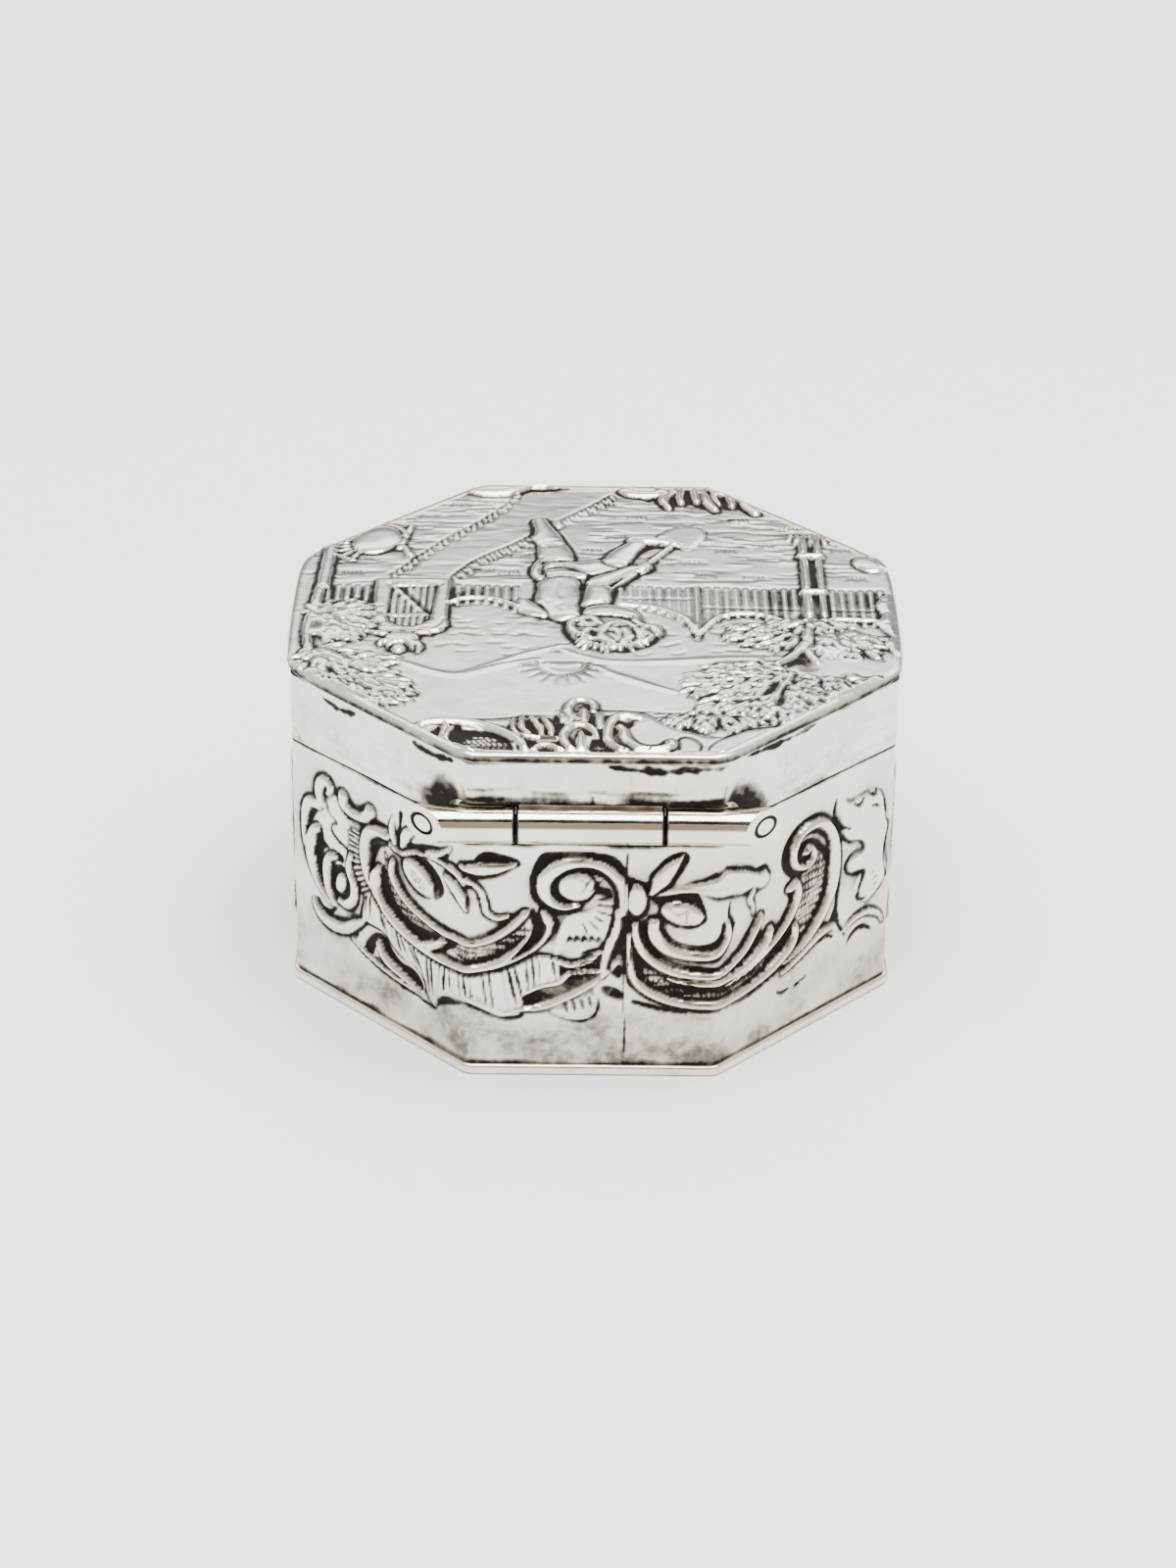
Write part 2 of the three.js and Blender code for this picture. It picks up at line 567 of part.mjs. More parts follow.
function footPlate() {
  const levels = [];
  for (let step = 0; step <= edgeSteps; step += 1) {
    const angle = (step / edgeSteps - 0.5) * Math.PI;
    levels.push({
      offset: footSpread * Math.cos(angle),
      z: (footThickness / 2) * (1 + Math.sin(angle)),
    });
  }
  return octagonStack(levels);
}

// Sheet that stands on edge round the octagon
function wallBand(outer, sheet, bottom, top, bevel = 0) {
  return octagonStack([
    { offset: outer - sheet, z: bottom },
    { offset: outer, z: bottom },
    { offset: outer, z: top - bevel },
    { offset: outer - bevel, z: top },
    { offset: outer - sheet, z: top },
  ].filter((level, i) => bevel > 0 || i !== 2), true);
}

function boxWall() {
  const band = toSolid(wallBand(0, wallSheet, footThickness, seamHeight));
  const halfRound = wasm.Manifold.union([...hingeScrolls(), ...sideScrolls()]);
  const relief = halfRound.add(halfRound.rotate([0, 0, 180]))
    .intersect(octagonPrism(wallRise, footThickness + reliefEdge, seamHeight - reliefEdge));
  return toGeometry(band.add(relief).subtract(boxRoom).simplify(facetMerge));
}

function lidBand() {
  const band = toSolid(wallBand(0, wallSheet, lidBottom, rimUnder));
  return toGeometry(band.subtract(lidRoom));
}

// Inner lip: soldered inside the walls, and open at the back, where the hinge's bearers are
function innerLip() {
  const lip = toSolid(wallBand(
    -wallSheet - lidPlay, lipSheet, seamHeight - lipDepth, seamHeight + lipRise, lipBevel));
  const reach = bearerInner + lipEndGap + farReach;
  const back = new THREE.BoxGeometry(2 * farReach, 2 * reach, 2 * farReach);
  back.translate(0, bearerInner + lipEndGap - reach, seamHeight);
  return toGeometry(lip.subtract(toSolid(back)));
}

// Lid sheet: a rounded rim that overhangs the band, and a field that rises to a crown in the middle
function lidTop() {
  const seat = -wallSheet - solderGap;
  const under = [];
  const over = [];
  for (let step = 1; step <= crownSteps; step += 1) {
    const scale = 1 - step / (crownSteps + 1);
    const z = rimTop + lidCrown * (1 - scale ** 2);
    over.push({ offset: 0, corner: rimCorner, scale, z });
    under.unshift({ offset: seat - rimThickness, scale, z: z - lidSheet });
  }
  const edge = [{ offset: seat - rimThickness, z: rimTop - lidSheet }, { offset: seat, z: rimUnder }];
  for (let step = 0; step <= edgeSteps; step += 1) {
    const angle = (step / edgeSteps - 0.5) * Math.PI;
    edge.push({
      offset: rimSpread * Math.cos(angle),
      corner: rimCorner,
      z: rimTop - (rimThickness / 2) * (1 - Math.sin(angle)),
    });
  }
  const sheet = toSolid(octagonStack([...under, ...edge, ...over]));
  const relief = wasm.Manifold.union([...garden(), ...figure()])
    .intersect(octagonPrism(-reliefEdge, rimUnder, farReach));
  return toGeometry(sheet.add(relief).simplify(facetMerge));
}

// Bearer: a strip behind the tube, from wall to slanting wall, hollowed to the tube's shape
function bearer(profile, room) {
  const shape = new THREE.Shape(profile.map(([y, z]) => new THREE.Vector2(y, z)));
  const bar = new THREE.ExtrudeGeometry(shape, { depth: width, bevelEnabled: false });
  bar.translate(0, 0, -width / 2).applyMatrix4(new THREE.Matrix4().makeBasis(
    new THREE.Vector3(0, 1, 0), new THREE.Vector3(0, 0, 1), new THREE.Vector3(1, 0, 0)));
  const insideWalls = octagonPrism(-wallSheet - solderGap, 0, rimTop);
  return toGeometry(toSolid(bar).intersect(insideWalls).subtract(room));
}

function boxBearer() {
  const top = seamHeight - bearerSeamGap;
  return bearer([
    [-width / 2, top - bearerFace - bearerSlope],
    [bearerInner, top - bearerFace],
    [bearerInner, top],
    [-width / 2, top],
  ], boxRoom);
}

function lidBearer() {
  const bottom = lidBottom + bearerSeamGap;
  return bearer([
    [-width / 2, bottom],
    [bearerInner, bottom],
    [bearerInner, bottom + bearerFace],
    [-width / 2, bottom + bearerFace + bearerSlope],
  ], lidRoom);
}

function hingePin() {
  return toGeometry(mitreEnds(hingeRod(pinDiameter / 2, -farReach, farReach)));
}

function thumbpiece() {
  const profile = [new THREE.Vector2(0, 0)];
  for (let step = 0; step <= edgeSteps; step += 1) {
    const angle = (step / edgeSteps - 0.5) * Math.PI;
    profile.push(new THREE.Vector2(
      thumbReach - thumbBevel * (1 - Math.cos(angle)),
      (thumbThickness / 2) * (1 + Math.sin(angle)),
    ));
  }
  profile.push(new THREE.Vector2(0, thumbThickness));
  const lug = new THREE.LatheGeometry(profile, tubeSides).rotateX(Math.PI / 2);
  lug.scale(thumbWidth / 2 / thumbReach, 1, 1);
  lug.translate(0, width / 2, lidBottom + thumbRise);
  const behind = new THREE.BoxGeometry(width, width, 2 * lidDepth);
  behind.translate(0, 0, lidBottom + lidDepth);
  return toGeometry(toSolid(lug).subtract(toSolid(behind)));
}

const box = new THREE.Group();
const lid = new THREE.Group();
lid.position.copy(hingeAxis);
const pillBox = new THREE.Group();
pillBox.add(box, lid);

function addPiece(body, name, geometry, finish) {
  const piece = new THREE.Mesh(geometry, new THREE.MeshStandardMaterial(finish));
  piece.name = name;
  piece.position.copy(body.position).negate();
  body.add(piece);
}

addPiece(box, "base_plate", footPlate(), silver);
addPiece(box, "body_wall", boxWall(), silver);
addPiece(box, "inner_bezel", innerLip(), insideSilver);
addPiece(box, "body_bearer", boxBearer(), insideSilver);
addPiece(box, "knuckle_left", toGeometry(knuckle(-farReach, middleStart - knuckleGap)), paleSilver);
addPiece(box, "knuckle_right", toGeometry(knuckle(middleEnd + knuckleGap, farReach)), paleSilver);
addPiece(box, "hinge_pin", hingePin(), steel);
addPiece(lid, "lid_top", lidTop(), silver);
addPiece(lid, "lid_band", lidBand(), silver);
addPiece(lid, "lid_bearer", lidBearer(), insideSilver);
addPiece(lid, "knuckle_middle", toGeometry(knuckle(middleStart, middleEnd)), paleSilver);
addPiece(lid, "thumbpiece", thumbpiece(), silver);

export default pillBox;
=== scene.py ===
"""Octagonal pill box in chased sheet silver, dressed over its solid model."""

import math

import bmesh
import bpy
import numpy as np
from mathutils import Matrix, Vector


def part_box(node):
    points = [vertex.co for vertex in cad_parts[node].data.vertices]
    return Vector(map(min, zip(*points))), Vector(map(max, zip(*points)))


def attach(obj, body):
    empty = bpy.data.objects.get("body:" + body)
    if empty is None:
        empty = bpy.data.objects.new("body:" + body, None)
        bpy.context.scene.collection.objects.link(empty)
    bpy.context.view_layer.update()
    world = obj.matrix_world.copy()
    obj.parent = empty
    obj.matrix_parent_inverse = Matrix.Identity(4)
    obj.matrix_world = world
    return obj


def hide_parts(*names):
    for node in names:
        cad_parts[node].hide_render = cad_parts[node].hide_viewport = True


bl_info = {
    "name": "Octagonal silver pill box",
    "version": (1, 0, 0),
    "blender": (4, 5, 0),
    "location": "View3D > Sidebar > Pill Box",
    "description": "Chased silver pill box with a hinged lid, its materials and its studio",
    "category": "Object",
}

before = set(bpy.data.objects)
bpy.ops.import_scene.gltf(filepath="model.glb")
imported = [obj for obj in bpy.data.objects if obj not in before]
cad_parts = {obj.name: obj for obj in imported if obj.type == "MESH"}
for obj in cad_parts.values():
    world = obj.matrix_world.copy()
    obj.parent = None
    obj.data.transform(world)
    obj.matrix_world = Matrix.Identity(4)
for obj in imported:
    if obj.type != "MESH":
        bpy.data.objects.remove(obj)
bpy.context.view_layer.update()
MM = 0.001

# The octagon of the walls, in millimetres
WIDTH = 38.0
HALF_WIDTH = WIDTH / 2
CORNER_CUT = 11.29
CORNER_ROUND = 0.8
SLANT_WALL = CORNER_CUT * math.sqrt(2)
SLANT_AWAY = (WIDTH - CORNER_CUT) / math.sqrt(2)
FLAT_WALL = WIDTH - 2 * CORNER_CUT
AROUND = 4 * (SLANT_WALL + FLAT_WALL)
STRIP_START = -SLANT_WALL - FLAT_WALL

# Heights and sheets, how far the relief shows on their backs, and the painted shade down the rim's rolled edge
FOOT_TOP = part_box("body_wall")[0].z / MM
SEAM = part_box("body_wall")[1].z / MM
BAND_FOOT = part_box("lid_band")[0].z / MM
RIM_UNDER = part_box("lid_top")[0].z / MM + 0.15
RIM_TOP = RIM_UNDER + 0.65
RIM_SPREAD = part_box("lid_top")[1].x / MM - HALF_WIDTH
RIM_ROUND = 0.27
RIM_PAINTED_SHADE = (0, 0.05, 0.5, 0.75, 0.25, 0.4, 0.9)
WALL_SHEET = 0.5
LID_SHEET = 0.55
LID_ROUND = 1.5
SHARP = 72
ECHO, ECHO_BLUR = 0.6, 0.35
BACK_INSET = 1.4
BACK_SUNK = 0.12

# Cells of the fine grids, in fours, because the back of each sheet is that much coarser
COARSER = 4
FRONT_CELLS, BACK_CELLS, BAND_CELLS, LID_CELLS = (680, 116), (364, 108), (1000, 44), 284

# Hinge: its axis lies in the outer face of the wall, and its rods are made too long, to be cut at the mitres
AXIS_Y = -HALF_WIDTH
AXIS_Z = 17.8
TUBE = 1.18
PIN = 0.57
MITRE = 1.89
MIDDLE = (-4.65, 4.25)
KNUCKLE_GAP = 0.3
TUBE_GAP = 0.12
CLOSE_ROOM, WIDE_ROOM = TUBE + 0.02, TUBE + 0.24
ROD_END = 14


# Chasing: a sheet laid flat, raised and sunk with a few tools

GRID = 0.08
CHASE_WIDTH = 0.2
CHASE_DEPTH = 0.1
DEEPEST = -0.24
EASE = 0.06


def curve(points, closed=False, steps=7):
    """Smooth line through a few points, given as many close ones."""
    p = np.asarray(points, float)
    if closed:
        q = np.vstack([p[-1:], p, p[:2]])
    else:
        q = np.vstack([2 * p[:1] - p[1:2], p, 2 * p[-1:] - p[-2:-1]])
    t = np.linspace(0, 1, steps, endpoint=False)[:, None]
    runs = [
        0.5 * (2 * b + (c - a) * t + (2 * a - 5 * b + 4 * c - d) * t**2 + (3 * b - a - 3 * c + d) * t**3)
        for a, b, c, d in zip(q, q[1:], q[2:], q[3:])
    ]
    return np.vstack([*runs, p[:1] if closed else p[-1:]])


def dots(*tenths):
    """Points from tenths of a millimetre, across and up by turns."""
    return np.reshape(tenths, (-1, 2)) / 10


def drawn(*tenths, **how):
    """Smooth line through points given in tenths of a millimetre."""
    return curve(dots(*tenths), **how)


def arc(centre, radii, start, end, tilt=0.0):
    """Part of an ellipse, in degrees; the two radii may differ."""
    a = np.radians(np.linspace(start, end, max(6, int(abs(end - start) / 9))))
    rx, ry = np.broadcast_to(radii, 2)
    x, y = rx * np.cos(a), ry * np.sin(a)
    c, s = math.cos(math.radians(tilt)), math.sin(math.radians(tilt))
    return np.column_stack([centre[0] + c * x - s * y, centre[1] + s * x + c * y])


def oval(centre, radii, tilt=0.0):
    """Whole ellipse, as a closed outline."""
    return arc(centre, radii, 0, 360, tilt)[:-1]


def heading(degrees):
    """Step of one millimetre at an angle."""
    return np.array([math.cos(math.radians(degrees)), math.sin(math.radians(degrees))])


def run_of(line):
    """Distance run at each point of a line."""
    return np.concatenate([[0], np.cumsum(np.hypot(*np.diff(line, axis=0).T))])


def place_on(line, at):
    """Point of a line that far along it."""
    return np.array([np.interp(at, run_of(line), line[:, k]) for k in (0, 1)])


def volute(centre, outer, inner, start, sweep):
    """Spiral that winds from its outer radius in to its inner one."""
    t = np.linspace(0, 1, max(12, int(abs(sweep) / 12)))
    a = np.radians(start + sweep * t)
    r = outer + (inner - outer) * t**0.8
    return np.column_stack([centre[0] + r * np.cos(a), centre[1] + r * np.sin(a)])


def blurred(field, radius):
    """Soft copy of a field: a Gaussian over that many millimetres."""
    reach = max(1, int(3 * radius / GRID))
    weights = np.exp(-0.5 * (np.arange(-reach, reach + 1) * GRID / radius) ** 2)
    weights /= weights.sum()
    for axis in (0, 1):
        pad = [(reach, reach) if axis == k else (0, 0) for k in (0, 1)]
        wide = np.pad(field, pad, mode="edge")
        n = field.shape[axis]
        field = sum(w * np.take(wide, range(i, i + n), axis=axis) for i, w in enumerate(weights))
    return field


class Relief:
    """A sheet laid flat: heights in millimetres on a square grid, and how dark each place is kept."""

    def __init__(self, low, high):
        self.low = np.array(low, float)
        self.shape = tuple(np.ceil((np.array(high) - self.low) / GRID).astype(int) + 1)
        self.height = np.zeros(self.shape)
        self.dark = np.zeros(self.shape)
        rough = np.random.default_rng(7).normal(size=self.shape)
        slow = blurred(rough, 0.9)
        self.wear = np.clip(0.72 + 0.3 * slow / slow.std(), 0.25, 1.25)
        self.film, self.shade_and_tarnish_haze = 0.05, 0.2

    def axes(self):
        """X of all the grid's columns and Y of all its rows."""
        across, up = (low + GRID * np.arange(count) for low, count in zip(self.low, self.shape))
        return across[:, None], up[None, :]

    def window(self, path, reach):
        """Grid slices round a line, with the X and Y of their points."""
        path = np.asarray(path)
        first = np.clip(((path.min(0) - reach - self.low) / GRID).astype(int), 0, np.array(self.shape) - 2)
        last = np.clip(((path.max(0) + reach - self.low) / GRID).astype(int) + 2, first + 1, self.shape)
        where = (slice(first[0], last[0]), slice(first[1], last[1]))
        x, y = self.axes()
        return where, x[where[0]], y[:, where[1]]

    def near(self, path, reach):
        """How far each point near a line is from it, and how far along the line that is."""
        path = np.asarray(path)
        where, x, y = self.window(path, reach)
        off = np.full((x + y).shape, 1e9)
        along = np.zeros(off.shape)
        steps = np.diff(path, axis=0)
        lengths = np.maximum(np.hypot(*steps.T), 1e-6)
        done = 0.0
        for start, step, length in zip(path, steps, lengths):
            dx, dy = x - start[0], y - start[1]
            t = np.clip((dx * step[0] + dy * step[1]) / length**2, 0, 1)
            d = np.hypot(dx - t * step[0], dy - t * step[1])
            closer = d < off
            off = np.where(closer, d, off)
            along = np.where(closer, done + t * length, along)
            done += length
        return where, off, along / lengths.sum()

    def within(self, outline, reach=0.0):
        """Which points near a closed outline are inside it."""
        where, x, y = self.window(outline, reach)
        inside = np.zeros((x + y).shape, bool)
        for (x0, y0), (x1, y1) in zip(outline, np.roll(outline, -1, axis=0)):
            if y0 != y1:
                inside ^= ((y0 > y) != (y1 > y)) & (x < x0 + (x1 - x0) * (y - y0) / (y1 - y0))
        return where, inside

    def beside(self, off, chase):
        """Profile of the groove chased along an edge: deep at once, then easing out to the ground."""
        if not chase:
            return 0 * off
        t = np.clip(off / chase, 0, 1)
        return np.where(off >= 0, 6.75 * t * (1 - t) ** 2, 0)

    def band(self, path, width, height, level=0.0, chase=CHASE_WIDTH, depth=CHASE_DEPTH, full=0.5):
        """Raised rounded band along a line, set off by a chased groove. Widths run along it."""
        widths = np.atleast_1d(width) / 2
        where, off, along = self.near(path, widths.max() + chase)
        half = np.interp(along, np.linspace(0, 1, len(widths)), widths)
        ground = self.height[where]
        hollow = ground - depth * self.beside(off - half, chase) * self.wear[where]
        across = np.clip(off / np.maximum(half, 1e-3), 0, 1)
        self.height[where] = np.where(off < half, level + height * (1 - across**2) ** full, hollow)
        self.dark[where] = np.where(off < half, 0, self.dark[where])

    def mound(self, outline, height, edge, level=0.0, chase=CHASE_WIDTH, depth=CHASE_DEPTH):
        """Raised shape inside a closed outline, rounded down to it over the edge's width."""
        closed = np.vstack([outline, outline[:1]])
        where, off, _ = self.near(closed, chase + GRID)
        _, inside = self.within(outline, chase + GRID)
        ground = self.height[where]
        ring = self.beside(off, chase) * self.wear[where]
        rise = np.sqrt(1 - (1 - np.clip(off / edge, 0, 1)) ** 2)
        self.height[where] = np.where(inside, level + height * rise, ground - depth * ring)
        self.dark[where] = np.where(inside, 0, self.dark[where])

    def darken(self, level, where=...):
        """Keep places at least that dark."""
        self.dark[where] = np.maximum(self.dark[where], level)

    def groove(self, path, width, depth, dark=0.0):
        """Line chased into whatever is there."""
        widths = np.atleast_1d(width) / 2
        where, off, along = self.near(path, widths.max() + GRID)
        half = np.interp(along, np.linspace(0, 1, len(widths)), widths)
        cut = np.clip(1 - (off / np.maximum(half, 1e-3)) ** 2, 0, 1)
        self.height[where] -= depth * cut
        if dark:
            self.darken(dark * cut, where)

    def pocket(self, outline, level, dark, edge=0.2):
        """Flat sunk ground inside an outline, kept dark."""
        closed = np.vstack([outline, outline[:1]])
        where, off, _ = self.near(closed, GRID)
        _, inside = self.within(outline, GRID)
        share = np.where(inside, np.clip(off / edge, 0, 1), 0)
        self.height[where] = self.height[where] * (1 - share) + level * share
        self.darken(dark * share, where)

    def pebbles(self, outline, pitch, height, seed, dark):
        """Ground of small round punch marks inside an outline. The seed may be a generator already in use."""
        where, inside = self.within(outline)
        _, x, y = self.window(outline, 0.0)
        row = np.round(y / (pitch * 0.87))
        column = np.round(x / pitch - 0.5 * (row % 2))
        jitter = 0.16 * pitch * np.sin(12.9898 * column + 78.233 * row + np.random.default_rng(seed).random())
        dx = x - (column + 0.5 * (row % 2)) * pitch + jitter
        dy = y - row * pitch * 0.87 - jitter
        bump = np.clip(1 - (dx**2 + dy**2) / (0.5 * pitch) ** 2, 0, 1) ** 0.5
        self.height[where] = np.where(inside, self.height[where] + height * (bump - 0.4), self.height[where])
        self.dark[where] = np.where(inside, dark * (1 - 1.2 * bump), self.dark[where])

    def leaf(self, base, tip, width, height, bend=0.0, level=0.0, vein=0.0, chase=CHASE_WIDTH, depth=CHASE_DEPTH):
        """Pointed leaf from its base to its tip, bowed to one side."""
        base, tip = np.array(base, float), np.array(tip, float)
        along = tip - base
        side = np.array([-along[1], along[0]])
        path = curve([base, base + 0.5 * along + bend * side, tip], steps=4)
        self.band(path, (0.35 * width, width, 0.75 * width, 0.08), height, level, chase, depth)
        if vein:
            self.groove(path[1:-1], 0.2, vein)

    def patina_and_shade(self):
        """How dark the metal is kept, from 0 on what rubs bright to 1 in the hollows, with painted shade over the
        ground beside raised forms.
        """
        sunk = blurred(self.height, 0.34) - self.height
        # Painted shade mixed with tarnish: the ground beside raised forms is darkened
        shade_and_tarnish_haze = np.clip((blurred(self.height, 0.9) - self.height) / self.shade_and_tarnish_haze, 0, 0.4) * np.clip(self.wear, 0, 1)
        cavity = np.clip((sunk - 0.014) / self.film, 0, 1) * np.clip(self.wear + 0.25, 0, 1)
        return np.clip(np.maximum(cavity, self.dark * np.clip(self.wear + 0.3, 0, 1)) + shade_and_tarnish_haze, 0, 1)

    def settle(self):
        """Ease the tool's edges a little, as hammered sheet does, and let no groove go deep."""
        sunk = np.minimum(self.height, 0)
        self.height = blurred(np.where(self.height < 0, DEEPEST * np.tanh(sunk / DEEPEST), self.height), EASE)

    @classmethod
    def copy_of(cls, sheet, height):
        """The same sheet with other heights."""
        other = cls.__new__(cls)
        other.low, other.shape, other.film, other.shade_and_tarnish_haze = sheet.low, sheet.shape, sheet.film, sheet.shade_and_tarnish_haze
        other.height = height
        return other

    def pick(self, field, x, y):
        """Values of a field between its grid points."""
        u = np.clip((x - self.low[0]) / GRID, 0, self.shape[0] - 1.001)
        v = np.clip((y - self.low[1]) / GRID, 0, self.shape[1] - 1.001)
        i, j = u.astype(int), v.astype(int)
        a, b = u - i, v - j
        return ((1 - a) * (1 - b) * field[i, j] + a * (1 - b) * field[i + 1, j]
                + (1 - a) * b * field[i, j + 1] + a * b * field[i + 1, j + 1])

    def height_at(self, x, y):
        """Height of the sheet at any places."""
        return self.pick(self.height, x, y)

    def shade_at(self, x, y):
        """How dark the sheet is kept at any places."""
        return self.pick(self.patina_and_shade(), x, y)


# Picture on the lid, as it stands upright

GROUND_LINE = -3.4


def sky_and_hills(sheet):
    """Ridges of the hills, and the sky planished with short strokes."""
    for ridge in (
        (-166, 64, -125, 64, -85, 66, -44, 71, -12, 72, 6, 66, 24, 54),
        (-52, 113, -32, 102, -12, 89, 4, 75),
        (20, 50, 44, 63, 63, 77, 83, 91, 100, 87, 119, 75, 138, 64),
        (36, 70, 60, 79, 82, 92),
    ):
        sheet.band(drawn(*ridge), (0.3, 0.9, 0.3), 0.06, chase=0, full=1.2)
    rng = np.random.default_rng(5)
    for _ in range(150):
        u, v = rng.uniform(-17, 14), rng.uniform(0.5, 6.0)
        span = rng.uniform(0.4, 1.2)
        lean = rng.uniform(-0.25, 0.35)
        line = curve([(u, v), (u + span / 2, v + lean * span + 0.08), (u + span, v + lean * span)], steps=3)
        sheet.groove(line, 0.24, 0.035)


def sun(sheet):
    """Half sun over the hills, with long and short rays by turns."""
    centre, radius = (2.0, 7.35), 1.2
    disc = np.vstack([arc(centre, radius, 0, 180), [(centre[0] + radius, centre[1])]])
    sheet.mound(disc, 0.1, 0.5, chase=0.22, depth=0.1)
    for ray in range(21):
        reach = (1.75, 2.45)[ray % 2] * radius - 0.2 * (ray % 4 == 0)
        toward = heading(-2 + 184 * ray / 20)
        start, end = centre + 1.28 * radius * toward, centre + reach * toward
        sheet.groove([start, end], (0.26, 0.2, 0.05), 0.07, dark=0.75)


def ground(sheet):
    """Uneven ground: fine wavy strokes, and a few raised ones between them."""
    rng = np.random.default_rng(11)
    for _ in range(300):
        u, v = rng.uniform(-18, 17), rng.uniform(-18.5, GROUND_LINE - 0.4)
        span = rng.uniform(1.0, 4.5)
        wave = rng.uniform(-0.12, 0.12)
        line = curve([(u, v), (u + 0.35 * span, v + wave), (u + 0.7 * span, v - wave), (u + span, v)], steps=3)
        sheet.groove(line, (0.1, 0.34, 0.1), rng.uniform(0.02, 0.055), dark=rng.uniform(0, 0.35))
    for _ in range(90):
        u, v = rng.uniform(-17, 15), rng.uniform(-18, GROUND_LINE - 0.6)
        span = rng.uniform(0.9, 2.4)
        sheet.band(curve([(u, v), (u + span / 2, v + 0.1), (u + span, v)], steps=3), (0.1, 0.45, 0.1), 0.04, chase=0)


def tuft(sheet, u, v):
    """Five blades of grass, every other one shorter."""
    for blade in range(-2, 3):
        at = u + 0.28 * blade
        tip = (at + 0.05 * blade, v + 0.7 * (1 - 0.25 * (blade % 2)))
        sheet.groove([(at, v), tip], (0.2, 0.16, 0.05), 0.06, dark=0.55)


def garden_path(sheet):
    """Smooth path from the gate to the near edge, grass along both its sides."""
    left = drawn(93, -46, 76, -74, 49, -102, 19, -140, 0, -162, -16, -183)
    right = drawn(132, -50, 116, -76, 98, -106, 76, -134, 59, -162, 50, -186)
    outline = np.vstack([left, right[::-1]])
    where, inside = sheet.within(outline)
    sheet.height[where] = np.where(inside, 0.25 * sheet.height[where] - 0.02, sheet.height[where])
    for line, side in ((left, -1), (right, 1)):
        for step in np.arange(0.3, run_of(line)[-1] - 0.5, 0.42 if side < 0 else 0.6):
            u, v = place_on(line, step)
            tall = (0.95 if side < 0 else 0.8) * (0.8 + 0.3 * math.sin(7 * step))
            sheet.band([(u, v), (u + 0.12 * side - 0.15, v + tall)], (0.34, 0.26, 0.08), 0.1, chase=0.2, depth=0.12)
            sheet.groove([(u + 0.17, v - 0.05), (u + 0.14, v + 0.45)], 0.2, 0.06, dark=0.6)


def fence(sheet):
    """Paling fence in three lengths: pickets, their dark gaps and the rail that sags between the posts."""
    left_rail = np.vstack([
        drawn(-186, 10, -155, 9, -126, 13, -106, 4, -91, 3, -77, 11, -65, 34, steps=8),
        drawn(-65, 34, -59, 14, -46, 1, -31, -6, -14, -8, steps=8),
    ])
    right_rail = drawn(46, 1, 56, -9, 70, -16, 84, -15, 95, -8, steps=8)
    end_rail = drawn(142, -5, 158, -7, 178, -4, steps=8)
    for rail, first, last in ((left_rail, -18.6, -1.6), (right_rail, 4.9, 9.3), (end_rail, 14.5, 18.0)):
        back = np.vstack([rail, [(last, GROUND_LINE), (first, GROUND_LINE)]])
        sheet.pocket(back, -0.02, 0, edge=0.3)
        for at in np.arange(first + 0.2, last, 0.62):
            top = np.interp(at, rail[:, 0], rail[:, 1])
            tall = top + (0.75 if int(at * 3.1) % 2 else 0.45)
            low = GROUND_LINE + 0.08 * math.sin(9 * at)
            sheet.band([(at, low), (at, tall)], (0.26, 0.25, 0.2), 0.09, chase=0.19, depth=0.12, full=0.8)
            sheet.groove([(at + 0.31, top + 0.15), (at + 0.31, top + 0.6)], (0.3, 0.1), 0.08, dark=0.8)
        sheet.band(rail, 0.38, 0.2, chase=0.16, depth=0.08)
    for rail in (dots(-186, -4, -68, -5), dots(-64, -17, -18, -17)):
        sheet.groove(rail, 0.2, 0.06, dark=0.5)
    sheet.band(dots(-65, -34, -65, 39), (0.34, 0.34, 0.2), 0.2, chase=0.22, depth=0.12)


